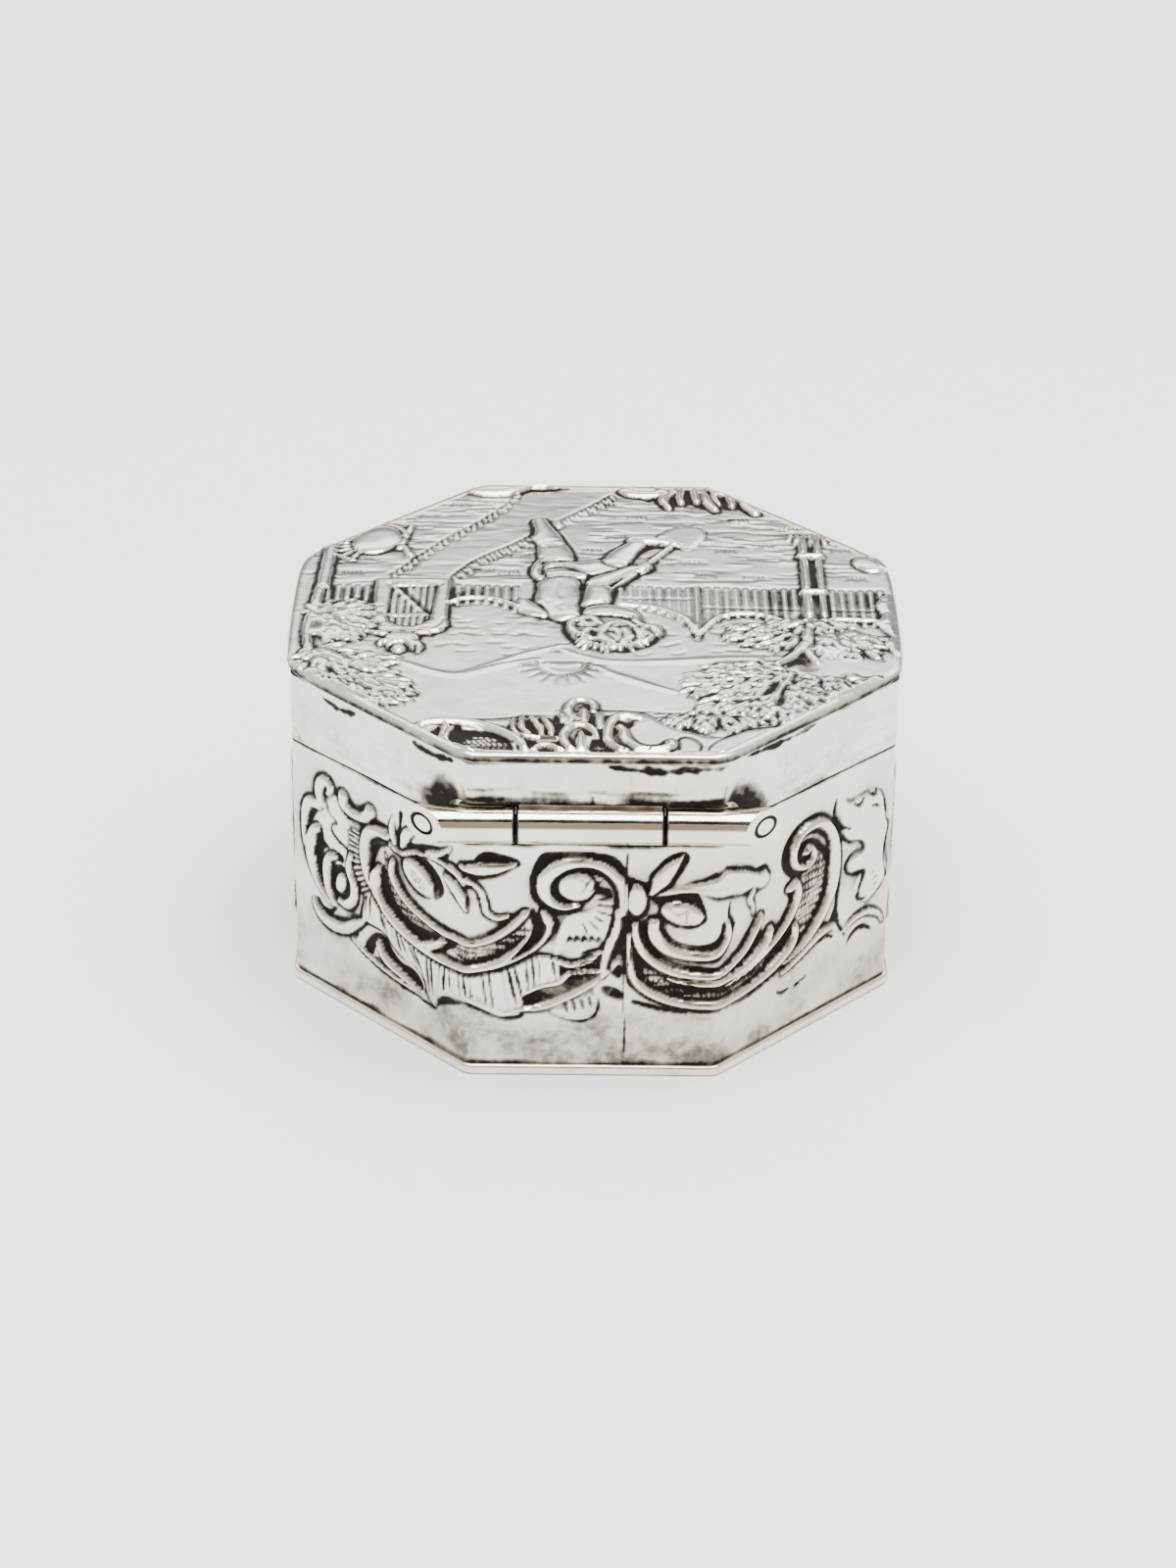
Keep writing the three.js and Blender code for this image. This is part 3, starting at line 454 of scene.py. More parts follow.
def gate(sheet):
    """Arched garden gate with a leafy crest, its door of slats with a brace across."""
    arch = drawn(142, -43, 141, 12, 137, 30, 132, 35, 122, 37, 110, 36, 102, 34, 96, 28, 94, 16, 93.5, -43, steps=4)
    sheet.mound(arch, 0.2, 0.3)
    door = np.vstack([dots(131, -35, 132, 12), arc((11.85, 1.2), (1.35, 1.45), 0, 180), [(10.1, -3.5)]])
    sheet.pocket(door, 0.0, 0.45, edge=0.12)
    for slat in range(6):
        at = 10.62 + 0.46 * slat
        top = 1.15 + 1.45 * math.sqrt(max(0.05, 1 - ((at - 11.85) / 1.35) ** 2))
        sheet.band([(at - 0.1, -3.4), (at, top)], 0.34, 0.08, level=0.02, chase=0.12, depth=0.08, full=0.8)
    sheet.groove(door, 0.2, 0.1, dark=0.85)
    sheet.groove(dots(106, 7.5, 127, -33), 0.7, 0.06, dark=0.6)
    for ends, width in (((107, 10, 131, 10.5), 0.34), ((101, -34, 131, -33), 0.34), ((109, 8, 130, -32), 0.3)):
        sheet.band(dots(*ends), width, 0.2, chase=0.14, depth=0.08)
    # Crest over the arch: a smooth stem with three leaves curled out of it, and a low shoulder at each side
    sheet.mound(drawn(112, 36, 113, 50, 113, 59, 119, 50, 123, 50, 129, 59, 131, 50, 131, 36,
                      closed=True, steps=4), 0.22, 0.4)
    for outline in ((114, 60, 119, 59, 120, 50, 117, 52), (126, 60, 131, 59, 129, 52, 125, 50)):
        sheet.pocket(drawn(*outline, closed=True), -0.08, 1.0, edge=0.1)
    sheet.mound(oval((12.3, 5.7), (0.45, 0.6)), 0.28, 0.4, chase=0.14)
    for base, tip, bend in (((11.4, 4.6), (11.1, 6.2), 0.15), ((13.0, 4.6), (13.5, 5.3), -0.25),
        ((11.3, 3.6), (10.3, 3.7), 0.2),
                            ((13.1, 3.7), (13.8, 3.2), 0.1)):
        sheet.leaf(base, tip, 0.55, 0.26, bend=bend, chase=0.2, depth=0.12)
    sheet.band(drawn(109, 31, 101, 32, 96, 25, 95, 19), (0.4, 0.6, 0.4), 0.24, chase=0.16)


def pole(sheet, u, top, foot, ties):
    """Trunk made of two poles tied together, in a tuft of leaves."""
    sheet.groove([(u, foot), (u, top)], 1.2, 0.1, dark=0.75)
    for side in (-0.42, 0.5):
        sheet.band([(u + side, foot), (u + side, top)], 0.42 if side < 0 else 0.55, 0.26, chase=0.2)
    for height in ties:
        sheet.band([(u - 0.6, height), (u + 0.75, height + 0.1)], 0.6, 0.34, chase=0.16)
    for blade in range(7):
        at = u - 1.3 + 0.42 * blade
        sheet.band([(at, foot - 0.5), (at + 0.1 * (blade - 3), foot + 0.9 + 0.3 * (blade % 2))],
                   (0.3, 0.24, 0.06), 0.16, chase=0.2)


def foliage(sheet, centre, radii, tilt, leaves, seed, root=None, size=1.0):
    """Crown of a tree: long leaves that fan out from its branch, the outer ones first, with dark gaps between them."""
    rng = np.random.default_rng(seed)
    c, s = math.cos(math.radians(tilt)), math.sin(math.radians(tilt))
    sheet.mound(oval(centre, np.array(radii) * 0.85, tilt), 0.06, 0.9, chase=0)
    for far in np.sort(rng.random(leaves))[::-1] ** 0.55:
        a = rng.uniform(0, 2 * math.pi)
        x, y = far * radii[0] * math.cos(a), far * radii[1] * math.sin(a)
        base = np.array([centre[0] + c * x - s * y, centre[1] + s * x + c * y])
        away = base - (centre if root is None else root)
        out = math.atan2(away[1], away[0]) + rng.normal(0, 0.3)
        toward = np.array([math.cos(out), math.sin(out)])
        length = size * rng.uniform(0.9, 1.5)
        if rng.random() < 0.45:
            start = base + 0.24 * np.array([-toward[1], toward[0]])
            sheet.groove([start, start + 0.75 * length * toward], (0.14, 0.34, 0.1), 0.1, dark=1.0)
        sheet.leaf(base, base + length * toward, rng.uniform(0.44, 0.62) * size, 0.15, bend=rng.normal(0, 0.1),
                   level=0.02 + 0.1 * (1 - far) ** 0.7, chase=0.13, depth=0.13)


def trees(sheet):
    """Two trees: the tied trunk with its wide crown at one side, a slim one at the other."""
    sheet.groove(drawn(-134, 5, -135, 35, -133, 75), 1.4, 0.1, dark=0.6)
    pole(sheet, -14.2, 0.3, -11.2, (-2.9, -8.3))
    for crown in (
        ((-14.9, 10.0), (1.9, 1.6), 0, 50, 2, (-14.2, 8.4)), ((-9.6, 9.9), (3.4, 2.6), 4, 190, 3, (-12.2, 8.4)),
        ((-11.6, 12.2), (2.4, 2.1), 20, 110, 13, (-11.8, 8.6)), ((-9.3, 13.2), (3.4, 1.4), 12, 100, 5, (-11.5, 9.5)),
        ((-6.4, 14.7), (2.8, 0.8), 4, 60, 4, (-6.8, 12.0)), ((-16.2, 3.9), (2.4, 1.6), -8, 80, 6, (-13.2, 1.0)),
        ((-14.6, 3.6), (1.6, 1.8), -8, 55, 16, (-13.8, 0.6)), ((-11.2, 3.2), (2.4, 1.4), -10, 85, 7, (-13.4, 1.2)),
        ((-13.6, 1.5), (2.4, 0.8), 0, 50, 11, (-13.4, 0.0)),
    ):
        foliage(sheet, *crown)
    for path, widths, height in (
        ((-135, 26, -134, 44, -134, 56, -139, 70), (0.7, 0.75, 0.6, 0.35), 0.26),
        ((-132, 44, -127, 56, -120, 66, -113, 73), (0.6, 0.6, 0.5, 0.3), 0.25),
        ((-122, 84, -116, 104, -106, 124), (0.35, 0.4, 0.2), 0.2),
    ):
        sheet.band(drawn(*path), widths, height, chase=0.2, depth=0.12)
    for outline in ((-133, 73, -129, 62, -120, 70, -120, 77, -127, 72),
        (-120, 99, -116, 103, -110, 129, -116, 126, -117, 112),
                    (-115, 95, -110, 98, -102, 116, -109, 112), (-135, 129, -129, 127, -127, 116, -132, 120)):
        sheet.pocket(drawn(*outline, closed=True), -0.1, 1.0, edge=0.12)
    sheet.band(drawn(179, 64, 182, 30, 179, -5, 177, -35), (0.5, 0.7, 0.7), 0.24)
    sheet.band(dots(176, -32, 173, -104), 0.85, 0.26)
    for crown in (
        ((13.6, 10.8), (1.7, 1.9), 0, 75, 8, (16.4, 9.4)), ((15.6, 10.4), (2.0, 1.6), -50, 75, 12, (16.4, 8.0)),
        ((14.9, 7.6), (1.9, 0.9), 0, 45, 18, (17.2, 7.6)), ((17.0, 7.2), (1.3, 1.9), 0, 55, 9, (17.4, 5.4)),
        ((16.0, 2.6), (1.7, 1.2), 12, 60, 10, (17.4, 1.4)), ((16.2, 0.6), (1.8, 1.3), 0, 50, 14, (17.8, 0.6)),
    ):
        foliage(sheet, *crown)


def basket(sheet):
    """Heaped round basket on its two legs, beside the path."""
    for leg, foot in (((12.9, -9.0), (12.2, -12.6)), ((12.1, -7.9), (12.6, -9.3))):
        sheet.band([leg, foot], (0.5, 0.4, 0.3), 0.2)
    middle = (15.2, -9.4)
    for spoke in range(7):
        sheet.band([middle, middle + 2.1 * heading(-62 + 22 * spoke)], 0.26, 0.12, chase=0.26)
    sheet.band(arc(middle, (2.2, 2.3), -70, 75), 0.3, 0.16)
    sheet.mound(arc((14.2, -11.0), (1.9, 1.9), 180, 372, tilt=-15), 0.2, 0.8)
    sheet.mound(oval((14.4, -10.2), (1.55, 2.2), -18), 0.32, 1.3)
    sheet.groove(arc((14.3, -10.9), (1.5, 1.5), 200, 330, tilt=-15), 0.24, 0.08, dark=0.3)


def spade(sheet):
    """Garden spade, its shaft running up to the figure's hand."""
    blade = drawn(-62, -92, -55, -94, -48, -101, -41, -110, -46, -118, -53, -125, -64, -127, -72, -123, -73, -112,
        -68, -100, closed=True)
    sheet.mound(blade, 0.1, 0.3, chase=0.16, depth=0.05)
    sheet.groove(dots(-11, -36, -27, -55, -53, -96), (0.3, 0.5, 0.3), 0.1, dark=0.8)
    sheet.groove(drawn(-23, -67, -25, -79, -33, -92, -46, -98), (0.4, 0.6, 0.7, 0.4), 0.14, dark=1.0)
    sheet.band(dots(-13, -31, -51, -96), 0.42, 0.26, chase=0.12)


def putto(sheet):
    """Small curly-headed garden putto seen from behind, foot on the spade, with a cloth round the hips."""

    def limb(points, widths, height=0.28, level=0.0):
        sheet.band(drawn(*points), widths, height, level=level, chase=0.2, depth=0.08, full=0.65)

    limb((25, -126, 25, -132), (0.6, 0.7), 0.18)
    limb((25, -66, 26, -82, 28.5, -96), (2.3, 2.45, 2.0))
    limb((29.5, -99, 32.5, -111, 35, -124, 37, -134), (1.9, 1.9, 1.3, 1.0))
    limb((26, -56, 8, -59, -12, -67), (2.7, 2.4, 1.9), 0.32)
    limb((-13, -70, -17, -81, -25, -94, -30, -102), (1.9, 1.9, 1.4, 1.2), 0.32)
    limb((-26, -104, -38, -103, -48, -99, -55, -96), (1.1, 1.0, 0.7, 0.2), 0.34)
    limb((32, 6, 41, 0, 46, -10), (1.3, 1.7, 0.9), 0.26)
    limb((19, 6, 21, -10, 23, -27, 23, -46), (2.4, 3.6, 3.0, 2.9), 0.34)
    limb((1, -4, -2, -20, -2, -34), (1.8, 2.0, 1.7), 0.34, level=0.04)
    limb((-2, -38, -13, -48, -26, -59), (1.7, 1.3, 0.9), 0.32, level=0.03)
    sheet.mound(oval((-3.2, -6.1), (0.5, 0.8), -20), 0.42, 0.4, chase=0.14, depth=0.08)
    for finger in range(3):
        sheet.groove([(-3.6, -5.8 - 0.35 * finger), (-3.0, -5.95 - 0.35 * finger)], 0.16, 0.05, dark=0.3)
    # Cloth round the hips, its end hanging down behind
    limb((7, -45, 20, -49, 34, -46), (0.8, 1.2, 1.1), 0.34, level=0.05)
    limb((36, -43, 38.5, -54, 37.5, -65, 36, -73), (0.5, 0.75, 0.65, 0.2), 0.26)
    for fold in range(3):
        lift = 0.28 * fold
        sheet.groove(curve([(0.9 + 0.2 * fold, -4.35 - lift), (2.2, -4.7 - lift), (3.3, -4.4 - lift)]), 0.16, 0.05,
            dark=0.15)
    for points, widths, dark in (
        ((8, -17, 9.5, -27, 7, -38, 4, -45), (0.2, 0.3, 0.3, 0.2), 0.95),
        ((5, -45, -9, -51, -21, -61), (0.3, 0.36, 0.24), 1.0),
        ((31, -42, 34.5, -52, 33, -61, 28, -65), (0.2, 0.36, 0.3, 0.12), 0.95),
        ((13, -70, 15, -88, 23, -114, 30, -132), (0.2, 0.24, 0.2, 0.12), 0.8),
        ((-6, -75, -11, -86, -19, -100), (0.3, 0.22, 0.12), 0.75),
        ((-12, -9, -11.5, -26, -20, -38, -29, -52), (0.24, 0.22, 0.26, 0.3), 0.9),
        ((40.5, -109, 41, -122, 44, -132), (0.12, 0.26, 0.26), 0.9),
    ):
        sheet.groove(drawn(*points), widths, 0.09, dark=dark)
    for points in ((24, -101, 29, -98, 38, -96), (30, -6, 36, -17, 38, -32), (21, 6, 24, 0, 22, -3),
                   (22, -12, 24, -24, 23, -38)):
        sheet.groove(drawn(*points), 0.3, 0.05, dark=0.15)
    # Head: a round cheek turned down to the left under a thick mop of curls
    sheet.mound(oval((-1.0, 0.75), (1.9, 1.35), -10), 0.34, 1.1, chase=0.22, depth=0.12)
    sheet.groove(arc((-1.0, 0.75), (2.0, 1.4), 155, 285, tilt=-10), 0.26, 0.1, dark=0.9)
    sheet.mound(oval((-3.5, 2.95), (0.85, 0.95)), 0.26, 0.5, chase=0.22, depth=0.12)
    sheet.mound(oval((-0.95, 3.35), (2.75, 2.15), -12), 0.3, 1.2, chase=0.22, depth=0.12)
    sheet.groove(drawn(9, 46, 13.5, 35, 19.5, 23, 18, 17, 11, 14.5), 0.26, 0.12, dark=0.95)
    sheet.groove(drawn(-37, 42, -43, 35, -43.5, 26), 0.34, 0.12, dark=0.95)
    for spot in ((-21, 29.5, -14, 29.5, -15, 26, -20, 26), (-1.5, 30, 8, 30, 7, 27, 0, 26.5),
                 (0, 43, 3.5, 39, 3, 32, -0.5, 35), (-14.5, 44, -11, 37, -4, 36, -12, 34),
                 (-25, 54, -18, 55, -19, 45, -23, 47), (-9, 52, 3, 52, 9, 45, -3, 47.5),
                 (7, 29, 14, 29, 13, 25), (-39, 39, -34, 37, -35, 31, -38, 33)):
        sheet.pocket(drawn(*spot, closed=True, steps=4), 0.1, 1.0, edge=0.14)
    for points, widths in (
        ((-23, 53, -29, 42, -26, 31), (0.3, 0.5, 0.3)), ((-15, 55, -21, 43, -19, 31), (0.3, 0.65, 0.4)),
        ((-12, 52, -6, 45, -4, 39), (0.4, 0.8, 0.5)), ((-4, 40, -5, 31, -9, 23), (0.3, 0.6, 0.4)),
        ((3, 44, 7.5, 40, 6, 33, 3, 32), (0.3, 0.4, 0.3)), ((-3, 24, 2, 16, 9, 17, 7, 23), (0.4, 0.5, 0.3)),
        ((10, 40, 15, 30, 15, 21, 11, 18), (0.3, 0.5, 0.5, 0.3)),
        ((-26, 29, -19, 22, -11, 23, -8, 27), (0.3, 0.4, 0.3)),
        ((-35, 39, -30, 33, -33, 26), (0.3, 0.5, 0.3)), ((-29, 25, -26, 19, -24, 14), (0.5, 0.5, 0.2)),
        ((-2, 24, -1, 18, 2, 13), (0.3, 0.35, 0.1)), ((-37, 40, -32, 46, -26, 46), (0.2, 0.4, 0.3)),
    ):
        sheet.band(drawn(*points), widths, 0.16, level=0.3, chase=0.14, depth=0.1)
    for tuft_at in range(13):
        a = math.radians(38 + 9.5 * tuft_at)
        root = np.array([-1.0 + 2.3 * math.cos(a), 3.2 + 2.0 * math.sin(a)])
        toward = np.array([math.cos(a + 0.25 * math.sin(5 * tuft_at)), math.sin(a)])
        sheet.band([root, root + (0.55 + 0.2 * (tuft_at % 3)) * toward], (0.34, 0.28, 0.08), 0.14, level=0.18,
            chase=0.12,
                   depth=0.12)


def hinge_edge_scrolls(sheet):
    """Scrollwork along the hinge side of the lid, over the picture."""

    def carved(hollows, lines, bands):
        for outline in hollows:
            sheet.pocket(drawn(*outline, closed=True, steps=5), -0.12, 1.0, edge=0.13)
        for points, width, dark in lines:
            sheet.groove(drawn(*points), width, 0.1, dark=dark)
        for points, widths, height in bands:
            sheet.band(drawn(*points), np.divide(widths, 100), height, chase=0.15, depth=0.08)

    # Smooth ground that the scrolls stand on, with its border
    sheet.mound(drawn(-122, 153, -104, 156, -90, 160, -78, 169, -66, 167, -46, 156, -28, 140, 3, 138, 26, 144, 52,
        148, 84, 152, 112, 160, 94, 194, -74, 194, -104, 174, closed=True),
                0.1, 0.6, chase=0.2, depth=0.06)
    carved(
        # Dark grounds: at both sides of the great U, under the arch, and the pocket on the right
        [(14, 191, 17, 164, 24, 147, 44, 150, 52, 161, 47, 173, 42, 191),
         (-24, 152, -12, 152, -3, 168, -3, 191, -13, 191, -12, 170, -18, 162),
         (-22, 159, -14, 159, -19, 151.5, -24, 151), (-7.5, 189, 3, 189, 2, 174, -5, 174),
         (1.5, 171, 4, 164, 10, 164, 11.5, 174, 7.5, 168), (17, 185, 27, 182, 26, 170, 20, 166),
         (26, 179, 48, 180, 49, 172, 36, 172), (33, 190, 46, 190, 45, 176, 36, 178),
         (34, 168, 42, 169, 42, 160, 36, 159), (17, 160, 22, 159, 26, 149, 24, 142, 19, 150),
         (50, 189, 76, 189, 86, 181, 85, 166, 74, 162, 59, 168, 51, 177),
         (79, 177, 88, 176, 87, 163, 81, 157), (92, 175, 101, 173, 103, 169, 94, 160)],
        # Lines between the smooth lobes at the left
        [((-90, 161, -78, 170, -70, 180, -68, 189), 0.2, 0.9),
         ((-63, 189, -64, 180, -61, 174, -56, 170.5, -51.5, 172), 0.22, 1.0), ((-51, 187, -51, 173), 0.2, 0.95),
         ((-48, 189, -45, 184), 0.3, 0.8),
         ((-124, 153, -104, 155.5, -90, 160), 0.2, 0.9), ((1.5, 158, 1, 139), 0.24, 0.9),
         ((-8, 155, -8, 144), 0.18, 0.8)],
        [((-46, 178, -45, 183, -36, 187.5, -28, 186, -22, 180, -18.5, 172, -17.5, 164, -15, 159),
          (85, 70, 75, 75, 70, 50), 0.32),
         ((-28, 148, -20, 144.5, -13, 147, -9.5, 154, -8, 164, -8, 174, -12, 183, -19, 189),
          (40, 70, 70, 70, 60, 50), 0.3),
         ((-3, 161, -3, 152, -3.5, 144), (40, 65, 40), 0.26),
         ((6.5, 155, 6.5, 146, 6.5, 139), (50, 60, 55), 0.26),
         ((1, 139, 0.5, 130, 6, 124, 12.5, 125.5, 16, 133, 15, 142, 10.5, 150), (40, 45, 50, 45, 30), 0.24),
         ((8, 190, 8.5, 179, 8, 167), (70, 60, 35), 0.3),
         ((-1.5, 172, 1, 163, 6, 158, 12, 158, 17.5, 164, 19, 173, 16, 184, 12, 191),
          (30, 50, 60, 65, 60, 50), 0.34),
         ((15, 154, 14.5, 145, 19, 137), (20, 30, 10), 0.2), ((20, 152, 20, 144, 23, 138), (20, 28, 10), 0.2),
         ((26, 170, 27, 160, 32, 146), (40, 60, 20), 0.3), ((32, 170, 33, 160, 39, 146), (40, 55, 20), 0.3),
         ((39, 170, 44, 161, 44, 145), (40, 55, 20), 0.3),
         ((23, 174, 34, 173.5, 45, 170, 49, 162, 49, 150), (30, 35, 40, 40, 20), 0.3),
         ((17, 190, 30, 182, 39, 190), (30, 50, 30), 0.28),
         ((85, 182, 91, 174, 90, 158), (30, 60, 40), 0.3),
         ((42, 190, 44, 180, 50, 172, 60, 163, 72, 156.5, 86, 154, 100, 155, 111, 161),
          (50, 70, 75, 70, 60, 30), 0.34),
         ((51, 190, 74, 189.5, 85, 182, 95, 177, 104, 170, 114, 163), (40, 60, 50, 50, 20), 0.32)],
    )
    pebbled = np.random.default_rng(1)
    sheet.pebbles(drawn(53, 186, 74, 186, 79, 178, 70, 170, 55, 175, closed=True), 0.34, 0.16, pebbled, dark=0.95)
    sheet.pebbles(drawn(-7, 189, 2, 189, 1, 177, -5, 176, closed=True), 0.32, 0.14, pebbled, dark=0.95)
    for points, width, dark in (
        ((-42, 178, -36, 181.5, -28, 180, -23.5, 174, -21.5, 167, -21, 159), 0.18, 0.9),
        ((-26, 151, -20, 149), 0.2, 0.95), ((-50, 140, -30, 138, -10, 137.2, 2, 137.5), 0.16, 0.75),
        ((3.5, 136, 6, 131, 9.5, 133), 0.3, 1.0), ((33, 158, 34, 149), 0.18, 0.9),
        ((24, 144, 44, 144, 54, 148.5, 70, 151), 0.14, 0.5), ((-15, 189, -10, 180), 0.16, 0.7),
        ((44, 172, 47.5, 163, 47, 151), 0.14, 0.8), ((56, 189.5, 75, 187, 86, 179), 0.12, 0.6),
    ):
        sheet.groove(drawn(*points), width, 0.06, dark=dark)


def far_edge_scrolls(sheet):
    """Cloud-like lobes and smooth scrolls along the edge opposite the hinge."""
    for outline in ((-89, -158, -86, -160, -85, -172, -89, -172), (-64.5, -164, -62, -166, -62.5, -183, -65, -182),
                    (-53.5, -159, -51.5, -164, -52, -174, -54, -170), (-43, -167, -40, -169, -46, -181, -50, -182),
                    (-85, -155, -82, -157, -83, -162), (-37, -167, -32, -171, -38, -173)):
        sheet.pocket(drawn(*outline, closed=True), -0.12, 0.95, edge=0.12)
    for path, widths in (
        ((-92, -182, -99, -170, -103, -159, -107.5, -150), (0.6, 0.85, 0.85, 0.7)),
        ((-90, -176, -92, -167, -92, -160), (0.6, 0.6, 0.45)),
        ((-79, -179, -81, -170, -83, -164), (0.5, 0.5, 0.4)),
        ((-72, -182, -75, -168, -80.5, -154.5), (0.8, 0.8, 0.6)),
        ((-67, -184, -68, -172, -68.5, -166), (0.6, 0.6, 0.45)),
        ((-57, -186, -57, -174, -58, -165), (0.7, 0.6, 0.5)),
        ((-52, -183, -46, -170, -49.5, -156), (0.6, 0.8, 0.4)),
        ((-91, -177, -83, -180, -76, -188), (0.5, 0.6, 0.5)),
    ):
        sheet.band(drawn(*path), widths, 0.3, chase=0.22, depth=0.14)
    sheet.mound(oval((-3.3, -18.2), (1.75, 0.95), -5), 0.34, 0.8)
    sheet.groove(arc((-3.2, -18.3), (1.0, 0.4), 20, 300, tilt=-5), 0.24, 0.08, dark=0.4)
    sheet.leaf((4.3, -18.7), (1.9, -18.9), 0.95, 0.34, bend=0.1)
    sheet.leaf((4.3, -18.8), (9.3, -18.2), 1.0, 0.34, bend=0.15)


def side_shells(sheet):
    """Scalloped shell edges that come in over the rim at the left and right."""
    edge = drawn(-189, 58, -182, 42, -187, 32, -179, 14, -183, 2, -180, -14, -187, -29)
    beyond = np.vstack([edge, dots(-200, -29, -200, 58)])
    sheet.mound(beyond, 0.2, 0.7)
    for rib in range(5):
        v = 4.6 - 1.6 * rib
        sheet.groove([(-19.3, v), (-18.5, v + 0.1)], 0.24, 0.07, dark=0.3)
    for centre, radii, tilt in (((-17.9, -7.3), (0.95, 1.25), 30), ((-17.6, 9.5), (0.9, 0.8), -30)):
        sheet.mound(oval(centre, radii, tilt), 0.24, 0.7)
        sheet.groove(arc(centre, np.array(radii) * 0.55, 40, 240, tilt), 0.22, 0.07, dark=0.3)


def lid_picture():
    """The whole chased sheet of the lid."""
    sheet = Relief((-20, -20), (20, 20))
    sheet.film, sheet.shade_and_tarnish_haze = 0.065, 0.36
    sky_and_hills(sheet)
    sun(sheet)
    ground(sheet)
    garden_path(sheet)
    fence(sheet)
    gate(sheet)
    for u, v in ((-7.2, -5.6), (-6.5, -7.6), (-11.1, -10.3), (0.2, -9.2), (4.9, -8.3), (-1.4, -11.4), (-17.0, -5.4),
                 (-10.3, -5.4), (-9.6, -14.2), (11.0, -14.6), (5.6, -5.8), (-2.8, -14.6), (-8.6, -9.4), (12.6, -14.0),
                 (-12.9, -13.0), (15.8, -5.6), (9.0, -16.4), (-4.4, -7.4), (7.2, -6.0), (-16.2, -9.8)):
        tuft(sheet, u, v)
    basket(sheet)
    trees(sheet)
    spade(sheet)
    putto(sheet)
    hinge_edge_scrolls(sheet)
    far_edge_scrolls(sheet)
    side_shells(sheet)
    sheet.settle()
    return sheet


# Scrollwork of the walls, unrolled: distance along the strip, then height


def ribs(sheet, path, reach, pitch, width, height):
    """Row of short round ribs that stand out square from a line, like the flutes of a shell."""
    for at in np.arange(pitch / 2, run_of(path)[-1], pitch):
        here = place_on(path, at)
        along = place_on(path, at + 0.1) - place_on(path, at - 0.1)
        along /= max(np.linalg.norm(along), 1e-6)
        out = np.array([-along[1], along[0]])
        long = reach * (0.85 + 0.3 * abs(math.sin(3.7 * at)))
        sheet.band([here, here + long * out], (width, width, 0.5 * width), height, chase=0.2, depth=0.1)


def carve(sheet, place, hollows=(), lines=(), bands=()):
    """Sink the dark hollows and lines of a design, then raise its bands over them. Widths are in hundredths."""
    for outline in hollows:
        sheet.pocket(curve(place(*outline), closed=True, steps=5), -0.15, 0.88, edge=0.13)
    for points, width in lines:
        sheet.groove(curve(place(*points)), np.divide(width, 100), 0.15, dark=0.92)
    for points, widths, height in bands:
        sheet.band(curve(place(*points)), np.divide(widths, 100), height, chase=0.17, depth=0.09)


def flutes(sheet, top, foot, count):
    """Fluted strip between two lines, each flute a soft rib with a fine dark line beside it."""
    outline = np.vstack([top, foot[::-1]])
    sheet.mound(outline, 0.1, 0.4, chase=0.2, depth=0.1)
    for flute in range(count):
        share = (flute + 0.5) / count
        upper, lower = (place_on(line, share * run_of(line)[-1]) for line in (top, foot))
        start, end = 0.96 * upper + 0.04 * lower, 0.2 * upper + 0.8 * lower
        lean = 0.1 * math.sin(2.3 * flute)
        strength = 0.55 + 0.45 * math.sin(1.7 * flute + 0.4)
        sheet.band([start + (0.2, 0), end + (0.2 + lean, 0)], (0.2, 0.3, 0.12), 0.1, level=0.08, chase=0.12, depth=0.04)
        if strength > 0.3:
            sheet.groove([start, end + (lean, 0)], (0.12, 0.27, 0.1), 0.12 * strength, dark=strength)


